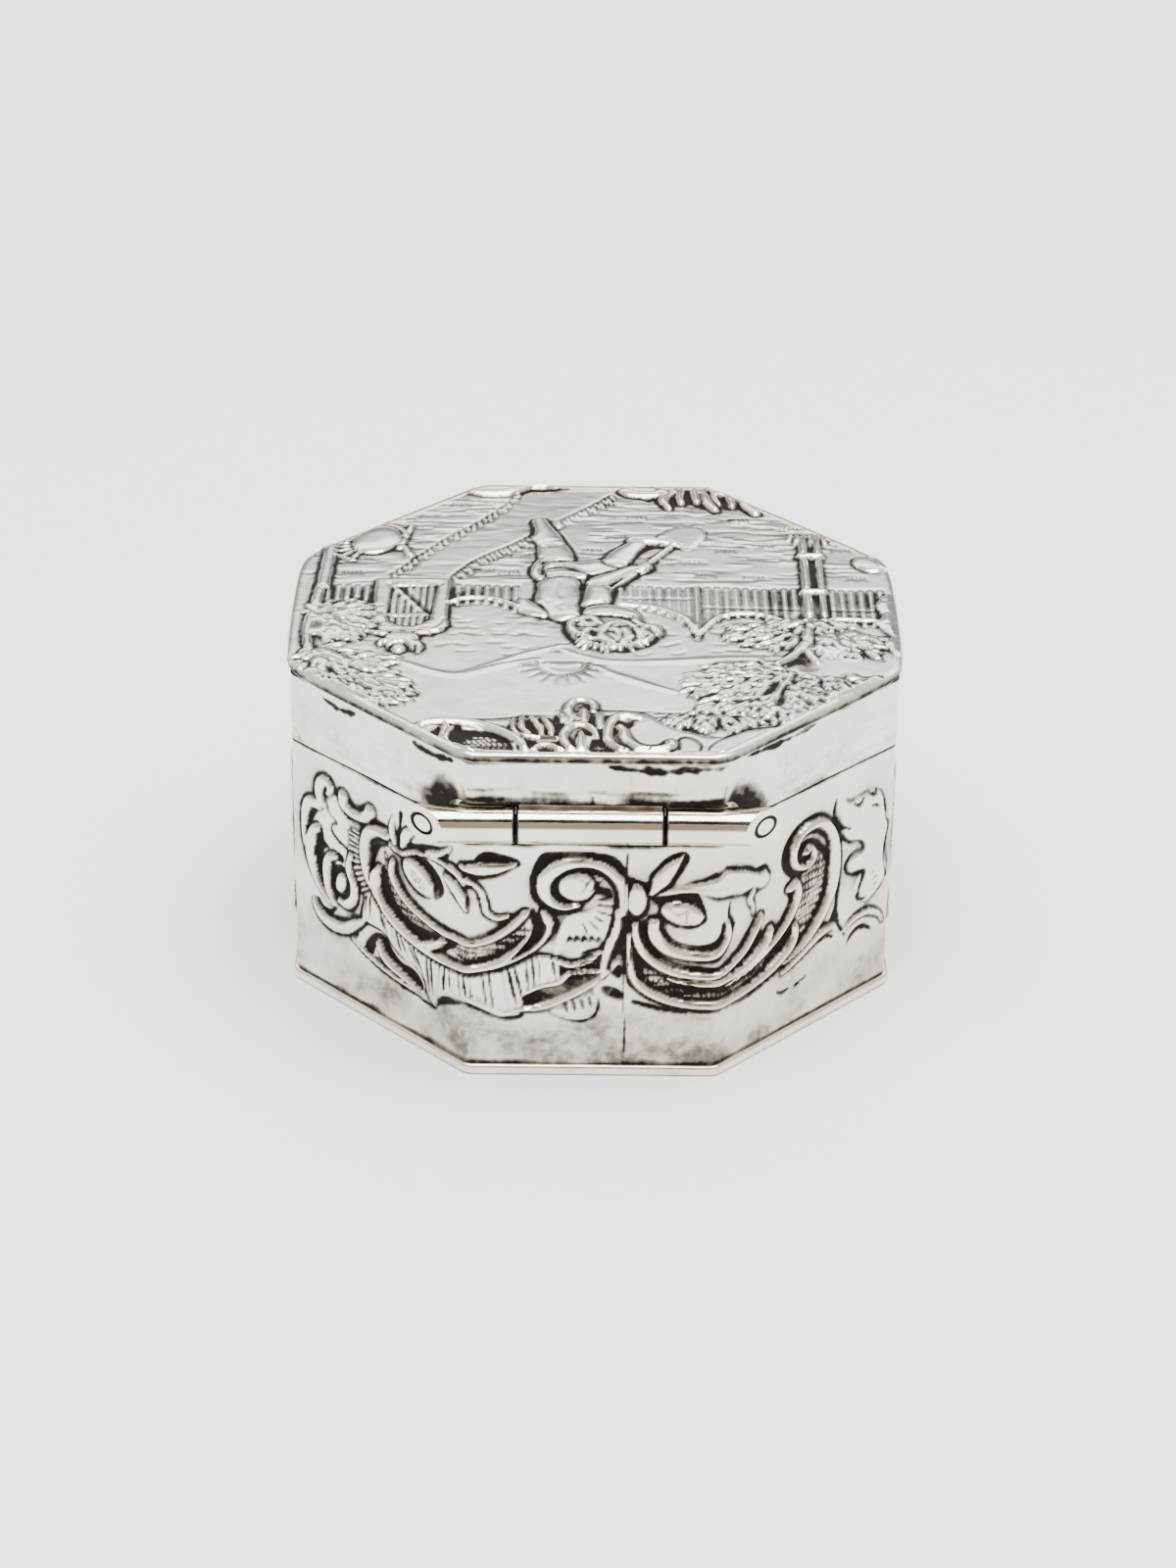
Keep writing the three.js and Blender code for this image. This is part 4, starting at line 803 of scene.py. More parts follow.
def left_scrolls(sheet, at):
    """Slanting wall to the left of the hinge: flame leaves, and a great oval C scroll that runs on under the hinge."""
    lower_edge = curve(at(63, 69, 73, 70, 84, 69, 92, 63, 102, 58, 114, 57, 122, 50, 124, 42, 131, 35, 134, 43, 143,
        48, 156, 50, 166, 49, 172, 44, 186, 41, 194, 45, 196, 55, 206, 62, 218, 66))
    upper_edge = curve(at(69, 99, 79, 87, 94, 77, 112, 71, 132, 69, 152, 69, 172, 73, 188, 79, 204, 86, 214, 84))
    flutes(sheet, upper_edge, lower_edge, 38)
    fringe = curve(at(63, 134, 62, 120, 63, 110, 67, 102, 74, 92))
    ribs(sheet, fringe[::-1], 0.9, 0.34, 0.2, 0.06)
    pebbled = curve(at(86, 129, 90, 124, 90, 114, 98, 102, 114, 93, 136, 90, 160, 90, 178, 94, 196, 106, 198, 100,
        188, 89, 172, 81, 158, 78, 139, 86, 122, 83, 102, 86, 87, 100), closed=True)
    sheet.pocket(pebbled, -0.06, 0.3, edge=0.2)
    sheet.pebbles(pebbled, 0.28, 0.1, 2, dark=0.75)
    carve(sheet, at, hollows=(
        (23, 137, 17, 131, 14, 123, 12.5, 112, 15, 116, 18, 123, 24, 133),
        (27, 121, 22, 112, 21, 98, 24, 86, 32, 73, 37, 70, 31, 82, 28.5, 96, 29, 106, 38, 109.5, 47, 108, 45, 102, 34,
         110, 29, 113),
        (35, 96, 42, 101, 49, 100, 52.5, 90, 49, 80, 41, 76, 38, 73, 36, 83),
        (75, 131, 84, 133, 90, 134, 82, 129, 79, 123, 75, 115, 72, 111, 71, 120, 72, 127),
        (82, 117, 87, 116, 89, 110, 91, 102, 99, 92, 108, 88, 120, 87, 132, 89, 139, 90, 132, 85, 120, 81, 106, 83,
         94, 89, 85, 98, 82, 106, 84, 112),
        (139, 89, 153, 94, 151, 88, 144, 82, 132, 77, 139, 83),
        (108, 136, 120, 139, 132, 134, 139, 126, 139, 118, 131, 112, 129, 122, 120, 131),
        (65, 50, 69, 59, 77, 66, 86, 66, 92, 59, 100, 54, 110, 54, 117, 50, 120, 43, 110, 45, 96, 48, 86, 54, 80, 61,
         76, 54, 73, 48),
        (51, 54, 59, 60, 59, 54),
        (133, 37, 136, 44, 146, 47, 156, 48, 146, 43, 139, 40),
        (102, 141, 110, 144, 120, 148, 134, 151, 144, 150, 138, 144, 124, 141),
        (97, 142, 99, 152, 99, 162, 103, 162, 101, 149, 101, 141),
    ), lines=(
        ((33, 140, 34, 135, 41, 130, 37, 128, 36, 123, 42, 118, 50, 115, 50, 110), (10, 26, 24, 30, 10)),
        ((65, 139, 64, 126, 65, 113, 69, 101, 80, 87, 96, 78, 114, 72, 134, 69), (30, 45, 40, 30, 20, 10)),
        ((22, 68, 25, 63, 32, 62, 39, 67), (15, 36, 15)),
        ((42, 154, 45, 144, 54, 139, 66, 140, 76, 145), (20, 30, 24, 30)),
        ((22, 59, 34, 51, 52, 52, 64, 45, 86, 39, 110, 36, 130, 34), (10, 20, 26, 20)),
        ((78, 147, 90, 145, 98, 138), (20, 36, 20)),
    ), bands=(
        ((23, 137.5, 15, 135, 11, 124, 10.5, 110, 14, 96, 22, 81, 34, 69), (90, 75, 45, 40, 35, 30, 15), 0.2),
        ((23, 120, 18.5, 115, 16, 104, 18, 92, 24, 80, 36, 69), (60, 90, 85, 60, 40, 15), 0.3),
        ((39, 106, 33.5, 102, 31.5, 92, 33, 80, 39, 70), (50, 75, 60, 45, 20), 0.3),
        ((43, 75, 50, 75, 56, 82, 56.5, 92, 52, 102, 54, 113), (40, 70, 70, 60, 50, 30), 0.2),
        ((29, 139, 26, 146, 27.5, 153, 33, 157.5, 37, 154, 34.5, 149), (40, 70, 90, 85, 50, 30), 0.28),
        ((48.5, 153, 50, 147.5, 59, 144, 69, 146, 73.5, 152), (85, 85, 70, 85, 90), 0.28),
        ((19, 65, 25, 58, 35, 55, 48, 57, 58, 64, 66, 70), (40, 90, 100, 90, 70, 30), 0.26),
        ((89, 141, 81, 141, 72, 136, 68.5, 127, 68.5, 116, 73, 103, 83, 91, 98, 81, 114, 76, 132, 73.5, 148, 74, 164,
          76, 179, 80, 192, 88, 203, 98, 209, 109, 207, 117),
         (60, 95, 85, 75, 70, 75, 80, 75, 70, 60, 50, 50, 60, 80, 100, 100, 40), 0.38),
        ((81.5, 115, 78, 109, 78, 101, 84, 91), (45, 85, 80, 50), 0.4),
        ((139, 87, 132, 81, 120, 77), (50, 75, 30), 0.38),
        ((94, 125, 93, 118, 98, 109, 108, 101, 123, 96, 140, 93.5, 153, 94, 166, 94, 178, 99, 188, 107, 196, 116),
         (40, 60, 55, 50, 50, 50, 45, 40, 50, 60, 50), 0.3),
        ((80, 60, 83, 54, 90, 49, 104, 45, 120, 41), (50, 70, 60, 40, 20), 0.28),
        ((54, 52, 64, 48, 78, 44, 94, 41, 114, 39), (20, 35, 40, 40, 15), 0.18),
        ((92, 136, 102, 134, 114, 139, 130, 142, 146, 141, 158, 134), (30, 35, 25, 25, 30, 20), 0.24),
    ))
    sheet.mound(oval(at(44, 88)[0], (0.5, 0.8), -20), 0.2, 0.6, level=-0.06, chase=0)
    sheet.mound(oval(at(117, 123)[0], (1.5, 0.95), -28), 0.24, 0.5, chase=0.18)
    sheet.pebbles(arc(at(119, 122)[0], (0.8, 0.35), 0, 360, -30), 0.3, 0.12, 4, dark=0.8)
    for ends, wide, bend in (((140, 142, 162, 135), 0.6, 0.1), ((142, 134, 159, 116), 1.1, 0.15),
        ((103, 139, 116, 156), 0.8, 0.15),
                             ((124, 144, 146, 155), 0.5, -0.1), ((96, 138, 94, 156), 0.5, 0.1)):
        sheet.leaf(*at(*ends), wide, 0.26, bend=bend, vein=0.07, chase=0.2)


def hinge_scrolls(sheet, at):
    """Wall under the hinge: the middle volute with its fans, and a sprig beyond the joint."""
    fan = curve(at(54, 84, 62, 97, 74, 102, 84, 96, 90, 116, 88, 126, 76, 118, 62, 114, 56, 100), closed=True)
    sheet.mound(fan, 0.08, 0.5, chase=0)
    carve(sheet, at, hollows=(
        (41, 120, 44, 113, 49, 108, 48, 100, 42, 92, 34, 86, 24, 81, 32, 90, 37, 97, 40, 104, 39, 113),
        (35, 56, 40, 59, 48, 63, 58, 64, 63, 70, 70, 71.5, 82, 72.5, 76, 67, 64, 60, 50, 53, 36, 49),
        (89, 73, 94, 80, 96, 74, 94, 69),
        (83, 64, 90, 64, 97, 59, 97, 54, 90, 55, 83, 59),
        (5, 154, 12, 159, 22, 157, 32, 153, 32, 148, 22, 150, 12, 151.5),
        (45, 157, 54, 159, 74, 159, 90, 156, 97, 146, 84, 154, 68, 157, 54, 155, 46, 148, 41, 138, 43, 128, 50, 118,
         40, 126, 39, 142),
        (66, 150, 74, 149, 84, 144, 87, 140, 76, 144, 68, 146),
        (77, 141, 82, 135, 88, 133, 89, 127, 83, 128, 78, 134),
        (100, 142, 110, 138, 114, 146, 122, 156, 132, 160, 136, 154, 126, 138, 114, 129),
        (113, 127, 126, 130, 138, 133, 145, 124, 147, 112, 143, 110, 141, 120, 129, 125, 122, 116, 118, 120),
        (126, 131, 140, 136, 152, 146, 150, 141, 138, 132),
    ), lines=(
        ((120, 111, 121, 104, 126, 97, 134, 93, 144, 92, 153, 95, 158, 101, 159, 107), (20, 30, 42, 36, 15)),
        ((108, 109, 109, 99, 114, 89, 122, 82, 134, 78, 154, 76, 170, 77), (30, 42, 40, 30, 15)),
        ((103, 53, 120, 48, 136, 45), (35, 30, 10)),
        ((2, 50, 12, 45, 24, 40, 34, 42), (30, 26, 20)),
    ), bands=(
        ((0, 139, 8, 132, 11, 123, 12.5, 116, 19, 112, 25, 113.5), (30, 30, 35, 35, 30), 0.16),
        ((96, 116, 96, 131, 92, 141, 83, 149, 71, 152, 59, 150, 50, 143, 47, 134, 50, 126, 58, 121, 68, 122),
         (40, 70, 75, 70, 60, 80, 100, 100, 80, 50, 30), 0.36),
        ((93, 118, 92, 105, 88, 94, 85, 83, 84, 74), (35, 50, 60, 50, 30), 0.28),
        ((34, 47, 48, 49.5, 62, 56, 76, 65, 87, 75), (30, 42, 42, 35, 20), 0.3),
        ((36, 59, 46, 64, 57, 67, 63, 73, 72, 74.5, 82, 75), (30, 40, 45, 40, 25), 0.24),
        ((54, 83, 64, 79, 74, 82, 82, 89), (30, 50, 50, 25), 0.2),
        ((0, 54, 11, 49, 22, 44, 32, 47), (50, 60, 55, 30), 0.2),
    ))
    sheet.mound(oval(at(67, 135)[0], (1.15, 1.05)), 0.26, 0.7, chase=0.16)
    sheet.groove(volute(at(68, 135)[0], 0.85, 0.3, 130, -200), (0.1, 0.2, 0.1), 0.06, dark=0.5)
    for number in range(9):
        hub, toward = at(66, 122)[0], heading(-70 + 17 * number) * (1, 0.9)
        sheet.groove([hub + 1.5 * toward, hub + (2.4 + 0.15 * math.sin(2 * number)) * toward], (0.1, 0.24, 0.1), 0.08,
            dark=0.7)
    for number in range(8):
        hub, toward = at(64, 85)[0], heading(20 - 15 * number)
        sheet.groove([hub + 0.7 * toward, hub + 1.7 * toward], (0.1, 0.26, 0.12), 0.1, dark=0.85)
    for number in range(5):
        x = 62 + 4.5 * number
        sheet.groove(curve(at(x, 96, x + 1, 99.5, x + 2.5, 97)), 0.2, 0.08, dark=0.7)
    shell = curve(at(52, 46.5, 59, 41.5, 70, 39.5, 78, 43, 80.5, 52, 78, 59, 66, 55), closed=True)
    sheet.mound(shell, 0.2, 0.5)
    for x, z in ((61, 51), (66, 52), (71, 54), (75.5, 56)):
        sheet.groove(at(x, z, x + 1.2, z - 5.5), (0.42, 0.36, 0.1), 0.16, dark=1.0)
    sheet.leaf(*at(-4, 147, 31, 150), 0.95, 0.28, bend=-0.05, vein=0.06, chase=0.18)
    sheet.mound(oval(at(104, 126)[0], (0.62, 1.15)), 0.28, 0.5, chase=0.18)
    sheet.leaf(*at(113, 131, 132, 158), 1.15, 0.3, bend=0.02, vein=0.06, chase=0.18)
    sheet.mound(oval(at(132, 116.5)[0], (1.35, 0.8), -16), 0.26, 0.5, chase=0.2)
    sheet.groove(curve(at(123, 122, 129, 117, 135, 119, 134, 112, 137, 110)), (0.1, 0.2, 0.15), 0.06, dark=0.6)


def right_scrolls(sheet, at, right):
    """Slanting wall to the right: banded C scrolls that come round the corner, the great volute and its shell."""

    def across(hinge_points, right_points):
        return np.vstack([at(*hinge_points), right(*right_points)])

    pebbled = curve(np.vstack([
        at(102, 84, 110, 83, 120, 74, 132, 68, 150, 65), right(16, 64, 40, 69, 54, 76, 56, 69, 36, 60, 10,
            57), at(144, 57, 126, 59, 110, 66)]), closed=True)
    sheet.pocket(pebbled, -0.08, 0.5, edge=0.2)
    sheet.pebbles(pebbled, 0.3, 0.13, 6, dark=0.9)
    field = curve(right(85, 123, 94, 124, 99.5, 116, 100, 100, 94, 86, 84, 76, 73, 74, 74, 94, 76, 112), closed=True)
    sheet.pocket(field, -0.06, 0.3, edge=0.3)
    sheet.pebbles(field, 0.31, 0.12, 8, dark=0.8)
    scallops = curve(right(108, 156, 116, 150, 126, 150, 136, 151, 146, 146, 151, 134, 155, 120, 153, 104, 155, 84,
        146, 74, 136, 71, 126, 82, 129, 94, 119, 98, 118, 108, 129, 114, 116, 123, 112, 134), closed=True)
    sheet.mound(scallops, 0.2, 0.9, chase=0)
    carve(sheet, right, hollows=(
        (12, 80.5, 23, 83, 29, 90, 31, 99, 36, 100, 33, 92, 29, 85, 20, 80),
        (32, 88, 38, 92, 41, 87, 39, 80, 32, 75, 20, 71.5, 29, 79),
        (44, 66, 54, 76, 63, 81, 66, 75, 63, 67, 54, 61, 42, 61),
        (71, 130, 72, 136, 78, 138.5, 86, 136.5, 94, 130, 98.5, 122, 99, 114, 93, 122, 88, 127, 85, 133, 78, 135),
        (60, 82, 67, 94, 68, 104, 62, 106, 65, 99, 60, 88, 52, 80),
        (22, 122, 29, 124, 36, 121, 39, 119, 32, 125, 24, 125),
        (120, 42, 123, 50, 132, 54.5, 140, 52, 147, 44, 138, 49, 130, 50, 124, 46),
        (102, 69, 109, 82, 109, 70, 114, 59, 109, 65, 98, 70.5, 86, 67),
    ), lines=(
        ((-10, 50, 15, 45.5, 34, 46.5, 54, 52, 74, 59, 88, 67), (30, 40, 34, 30, 40)),
        ((103, 141, 94, 149, 82, 151.5, 70, 148.5, 61, 141, 58, 130, 62, 121, 70, 116, 80, 116),
         (40, 30, 45, 50, 45, 20)),
        ((103, 142, 108, 132, 111, 116, 110.5, 96, 109.5, 78, 112, 64, 119, 52), (45, 36, 40, 36, 15)),
        ((105, 156, 104, 146, 109, 136, 118, 131), (15, 40, 36, 15)),
        ((111, 128, 118, 121, 126, 119, 131, 115, 131, 111, 122, 110, 117, 105, 118, 99, 124, 95, 133, 94, 132, 89,
          129.5, 83, 130, 75, 137, 73), (20, 30, 20, 46, 24, 30, 24, 50, 30, 30, 15)),
        ((151, 138, 152, 126, 156, 120, 153, 108, 152, 94, 156, 82), (10, 18, 12)),
        ((120, 148, 126, 145, 130, 149), (10, 36, 10)),
        ((134, 150, 141, 147, 142, 150), (10, 30, 10)),
        ((136, 141, 142, 139, 146, 136), (10, 26, 10)),
        ((5, 147.5, 14, 143, 26, 139, 32, 134, 41, 134, 45, 127), (10, 30, 20, 40, 30, 15)),
        ((10, 121, 10, 112, 13.5, 104, 11, 94), (10, 30, 36, 10)),
        ((76, 52, 88, 58, 100, 59, 107, 56), (15, 35, 40, 15)),
        ((56, 36.5, 60, 34, 67, 34), (15, 32, 15)),
        ((73, 34, 84, 37), (25, 12)),
    ))
    broad = np.vstack([at(116, 129.5, 134, 136, 152, 142), right(6, 145, 22, 139, 34, 133, 42, 131, 45, 124, 39, 120,
        29, 123, 20, 123, 10, 126), at(150, 129, 138, 131)])
    sheet.mound(curve(broad, closed=True), 0.22, 0.6, chase=0)
    sheet.groove(curve(right(-26, 134, -4, 135, 8, 133)), (0.05, 0.2, 0.05), 0.05, dark=0.4)
    carve(sheet, across, bands=(
        (((115, 110, 115, 102, 122, 92, 134, 87, 148, 86), (2, 90, 8, 98, 8, 108)), (70, 90, 80, 70, 60, 60, 60, 25),
         0.32),
        (((103, 109, 104, 99, 109, 88, 119, 79, 132, 73.5, 150, 72), (10, 75, 23, 82, 32, 92, 37.5, 100)),
         (40, 55, 60, 60, 50, 45, 45, 50, 60, 50), 0.34),
        (((124, 70, 140, 67), (0, 67, 16, 68, 32, 72, 43, 79, 46.5, 87)), (15, 40, 50, 55, 60, 80, 60), 0.34),
        (((), (8, 62, 30, 67, 52, 78, 65, 90, 71, 102, 69, 111, 63, 109)), (15, 25, 35, 45, 60, 75, 50), 0.34),
        (((99.5, 102, 100, 84, 103, 70, 113, 60, 130, 53), (-4, 51, 20, 51.5, 44, 56, 62, 64, 69, 72, 70, 80)),
         (20, 35, 50, 60, 60, 60, 55, 60, 70, 75, 45), 0.36),
        (((), (60, 56, 78, 65, 92, 77, 102, 93, 105, 110, 104, 126, 99, 138, 90, 146, 80, 147.5, 70, 144, 65, 134, 68,
           124, 76, 120, 83, 123, 84, 129, 80, 132.5, 76, 129.5)),
         (15, 40, 60, 80, 80, 90, 100, 90, 80, 80, 75, 60, 50, 50, 45, 40, 30), 0.4),
        (((), (60, 49, 76, 56, 92, 63, 105, 65, 110, 60)), (25, 60, 70, 60, 30), 0.22),
        (((), (116, 56, 126, 61, 138, 62, 150, 56, 155, 48)), (20, 45, 50, 40, 15), 0.16),
        (((), (30, 121, 27.5, 116, 30.5, 110, 31.5, 104)), (45, 35, 25, 12), 0.2),
    ))
    for x, z in ((139, 90), (140, 85), (141, 80)):
        sheet.groove(right(x, z - 0.5, x + 5, z + 1.5), (0.1, 0.24, 0.1), 0.07, dark=0.6)


def side_scrolls(sheet, middle):
    """Flat walls at the sides: a shell between two facing C scrolls."""
    for side in (-1, 1):
        def turned(*tenths):
            return dots(*tenths) * (side, 1) + (middle, 0)

        field = curve(turned(16, 126, 32, 136, 50, 126, 54, 100, 40, 78, 22, 76, 34, 96, 32, 114), closed=True)
        sheet.pocket(field, -0.08, 0.5, edge=0.3)
        sheet.pebbles(field, 0.31, 0.12, 9, dark=0.8)
        sheet.band(curve(turned(6, 54, 26, 56, 48, 70, 62, 94, 64, 120, 53, 142, 34, 149, 19, 140, 17, 124, 28, 116,
            37, 122, 35, 130)), (0.3, 0.75, 0.85, 0.8, 0.6, 0.35), 0.34)
        sheet.band(curve(turned(10, 74, 24, 80, 32, 94, 29, 109, 21, 109)), (0.2, 0.55, 0.5, 0.3), 0.28)
        sheet.leaf(*turned(56, 64, 73, 46), 0.8, 0.28, bend=0.2 * side, vein=0.08)
        sheet.leaf(*turned(66, 130, 74, 156), 0.7, 0.26, bend=0.2 * side, vein=0.07)
        sheet.leaf(*turned(42, 58, 50, 38), 0.7, 0.26, bend=0.2 * side)
    hub = np.array([middle, 8.2])
    for rib in range(9):
        toward = heading(90 + 17 * (rib - 4))
        sheet.band([hub + 0.6 * toward, hub + (3.6 - 0.05 * (rib - 4) ** 2) * toward], (0.25, 0.55, 0.7), 0.26,
            chase=0.2, depth=0.12)
    sheet.mound(oval(hub, (0.7, 0.6)), 0.32, 0.4)
    sheet.pocket(curve(turned(18, 50, 0, 66, -18, 50, 0, 42), closed=True), -0.1, 0.9, edge=0.2)
    sheet.band(curve(turned(30, 39, 12, 43, 0, 52, -12, 43, -30, 39)), (0.15, 0.5, 0.5, 0.5, 0.15), 0.28)


def along_strip(start):
    """Function that places points on the strip, given in tenths of a millimetre past its start."""
    return lambda *tenths: dots(*tenths) + (start, 0)


def wall_scrolls():
    """The strip of all eight walls: the three on the hinge side, repeated opposite, and the flat ones at the sides."""
    sheet = Relief((STRIP_START - 1, 0.0), (STRIP_START + AROUND + 1, 18.0))
    for start in (-SLANT_WALL, SLANT_WALL + 2 * FLAT_WALL):
        flat, right = along_strip(start + SLANT_WALL), along_strip(start + (SLANT_WALL + FLAT_WALL))
        left_scrolls(sheet, along_strip(start))
        hinge_scrolls(sheet, flat)
        right_scrolls(sheet, flat, right)
    for start in (STRIP_START, SLANT_WALL + FLAT_WALL):
        side_scrolls(sheet, start + FLAT_WALL / 2)
    sheet.settle()
    return sheet


def uneven(shape, radius, seed):
    """Random field of soft blotches about that many millimetres across, from about -2 to 2."""
    field = blurred(np.random.default_rng(seed).normal(size=shape), radius)
    return field / field.std()


def wall_joint_waves_and_painted_shade(sheet):
    """Joint in the strip, planished waves, and painted shade mixed with tarnish: dark lines along the foot, under the
    lid and under the hinge, and a wall darker towards its foot.
    """
    x, z = sheet.axes()
    joint = 0.5 * FLAT_WALL + 2.0
    line = curve([(joint, 0.6), (joint + 0.05, 3.4), (joint - 0.06, 6.6), (joint + 0.04, 9.8),
                  (joint - 0.08, 12.6), (joint + 0.1, 15.8)])
    sheet.groove(line, (0.16, 0.1, 0.17, 0.12, 0.18), 0.05, dark=0.6)
    rough = uneven(sheet.shape, 0.35, 21)
    near = sheet.window(line, 0.5)[0]
    sheet.height[near] += 0.012 * rough[near]
    # Dark lines along the foot and under the lid: tarnish in the joints and painted shade in the creases
    foot = np.clip(1.1 - (z - 0.7) / (0.24 + 0.2 * np.clip(uneven(sheet.shape, 0.8, 22), 0, 2)), 0, 1)
    lip = np.clip(1 - (17.45 - z) / (0.12 + 0.12 * np.clip(uneven(sheet.shape, 0.8, 23), 0, 2)), 0, 1)
    # Painted shade: darker towards the foot of the wall, unevenly
    low = np.clip(0.32 - 0.05 * (z - 1.5), 0.03, 0.32) * (1 + 0.35 * uneven(sheet.shape, 1.0, 25) + 0.15 * rough)
    # Painted shadow under the hinge, mixed with tarnish, on the wall behind it only
    behind = np.clip((x + 1.0) / 0.8, 0, 1) * np.clip((FLAT_WALL + 1.0 - x) / 0.8, 0, 1)
    wavy = np.clip(uneven(sheet.shape, 0.5, 26) + 0.5 * rough, 0, 2.5)
    hinge_shadow_and_tarnish = np.clip(1.2 - (16.5 - z) / (0.2 + 0.14 * wavy), 0, 1) * behind
    edges = np.maximum(0.85 * np.maximum(foot, lip), hinge_shadow_and_tarnish)
    sheet.darken(np.maximum(edges, np.clip(low, 0, 0.5)))
    sheet.height += 0.012 * uneven(sheet.shape, 1.3, 24)


def plain_band():
    """Band under the lid: plain, with a dark hollow over each end of the hinge, a smudge with painted shadow over the
    hinge and painted shadow under the rim.
    """
    sheet = Relief((STRIP_START - 1, 17.0), (STRIP_START + AROUND + 1, 22.6))
    x, z = sheet.axes()
    blotch, fine = uneven(sheet.shape, 0.7, 31), uneven(sheet.shape, 0.16, 32)
    coarse = uneven(sheet.shape, 0.4, 34)
    for centre, wide in ((-1.75, 2.1), (FLAT_WALL + 1.7, 2.0)):
        across = (x - centre) / (wide * np.clip(1.3 - 0.22 * (z - 18.0), 0.6, 1.3))
        far = np.hypot(across, (z - 18.0) / 2.6) + 0.05 * blotch + 0.05 * coarse
        hollow = np.clip(1.15 - far, 0, 1)
        sheet.height -= 0.16 * np.clip(hollow * 1.5, 0, 1)
        film = np.clip((1.7 * hollow) ** 1.3 * (0.8 + 0.16 * fine + 0.14 * coarse), 0, 0.8)
        sheet.darken(film)
    behind = np.clip((x + 0.6) / 0.6, 0, 1) * np.clip((FLAT_WALL + 0.6 - x) / 0.6, 0, 1)
    streaks = np.repeat(uneven((sheet.shape[0] // 7 + 1, sheet.shape[1]), 0.13, 36), 7, axis=0)[: sheet.shape[0]]
    # Smudge and painted shadow in a ragged band over the hinge, behind it only
    smudge_and_hinge_shadow = np.clip(1.5 + 0.12 * coarse + 0.16 * blotch + 0.34 * streaks - (z - 19.0) / 0.62, 0, 1) * behind
    # Painted shadow along the top of the band, under the rim's overhang
    under = np.clip(1.3 - (22.15 - z) / (0.14 + 0.12 * np.clip(coarse + 0.4 * blotch, 0, 2)), 0, 1)
    for path, wide in (
        ((86, 218, 104, 215.5, 126, 215.5, 160, 218), 0.22), ((-48, 216, -30, 214, -10, 217), 0.17),
        ((-128, 215, -114, 213, -100, 215), 0.15), ((176, 218, 204, 216.5, 240, 218), 0.13),
    ):
        where, off, along = sheet.near(drawn(*path), 0.6)
        wander = off + 0.07 * coarse[where] + 0.05 * fine[where]
        taper = np.sqrt(np.clip(4 * along * (1 - along), 0.02, 1))
        sheet.darken(np.clip(1.6 - wander / (wide * taper), 0, 1), where)
    streak = np.clip(0.14 + 0.1 * uneven(sheet.shape, 0.9, 35) + 0.05 * fine + 0.07 * streaks, 0, 0.4)
    streak *= np.clip(1 - (z - 17.6) / 4.6, 0.2, 1)
    sheet.darken(np.maximum(np.maximum(smudge_and_hinge_shadow, 0.95 * under), streak))
    nick = 0.5 * FLAT_WALL - 0.1
    sheet.groove([(nick, 19.0), (nick, 19.7)], 0.2, 0.08, dark=0.7)
    for at, tall, deep in ((3.4, 21.0, 0.02), (9.9, 21.2, 0.02), (12.6, 20.4, 0.015), (-6.0, 20.6, 0.015),
        (21.0, 20.8, 0.015)):
        sheet.groove(curve([(at, 19.4), (at + 0.1, 20.0), (at, tall)]), 0.3, deep, dark=0.15)
    sheet.height += 0.014 * uneven(sheet.shape, 1.2, 33)
    return sheet


# The octagon unrolled


def wall_table():
    """Angle, distance from the middle, length and start of each wall, in the order in which they unroll."""
    angles = np.radians([180, 225, 270, 315, 0, 45, 90, 135])
    away = np.array([HALF_WIDTH, SLANT_AWAY] * 4)
    lengths = np.array([FLAT_WALL, SLANT_WALL] * 4)
    return angles, away, lengths, np.concatenate([[0], np.cumsum(lengths)])


def around(t, out):
    """Places on the octagon, for distances along the unrolled walls, and the directions they face."""
    angles, away, lengths, starts = wall_table()
    easing = CORNER_ROUND * math.tan(math.pi / 8)
    s = np.mod(np.asarray(t, float) - STRIP_START + easing, AROUND) - easing
    wall = np.clip(np.searchsorted(starts, s, side="right") - 1, 0, 7)
    s = s - starts[wall]
    early, late = s < easing, s > lengths[wall] - easing
    before = (wall - early) % 8
    share = np.where(early, 0.5 + s / (2 * easing), np.where(late, 0.5 + (s - lengths[wall]) / (2 * easing), 0))
    facing = angles[before] + share * math.pi / 4
    first, second = away[before] - CORNER_ROUND, away[(before + 1) % 8] - CORNER_ROUND
    a, b = angles[before], angles[before] + math.pi / 4
    corner = np.stack([first * np.sin(b) - second * np.sin(a), second * np.cos(a) - first * np.cos(b)], -1)
    corner /= math.sin(math.pi / 4)
    normal = np.stack([np.cos(facing), np.sin(facing)], -1)
    straight = np.stack([-np.sin(angles[wall]), np.cos(angles[wall])], -1)
    middle = lengths[wall] / 2
    plain = away[wall][..., None] * normal + (s - middle)[..., None] * straight
    bent = corner + CORNER_ROUND * normal
    place = np.where((early | late)[..., None], bent, plain)
    return place + np.asarray(out, float)[..., None] * normal, normal


def soft_least(a, b, round_off):
    """The lesser of two lengths, with a soft change from one to the other."""
    return 0.5 * (a + b - np.sqrt((a - b) ** 2 + round_off**2))


def inside_octagon(y, inset):
    """Half the octagon's width at each Y, for an octagon drawn in from the walls, its corners rounded."""
    flat, slant = HALF_WIDTH - inset, SLANT_AWAY - inset
    half = soft_least(flat, slant * math.sqrt(2) - np.abs(y), 0.8 * LID_ROUND)
    end = np.clip((np.abs(y) - flat + 0.5 * LID_ROUND) / (0.5 * LID_ROUND), 0, 1)
    return half - 0.3 * LID_ROUND * end**3


# Closed sheets made from fine grids


def rim_of(count_u, count_v, grid):
    """Vertex numbers round a grid, anticlockwise as seen from the face."""
    u, v = np.arange(count_u), np.arange(count_v)
    return np.concatenate([grid[u[:-1], 0], grid[-1, v[:-1]], grid[u[:0:-1], -1], grid[0, v[:0:-1]]])


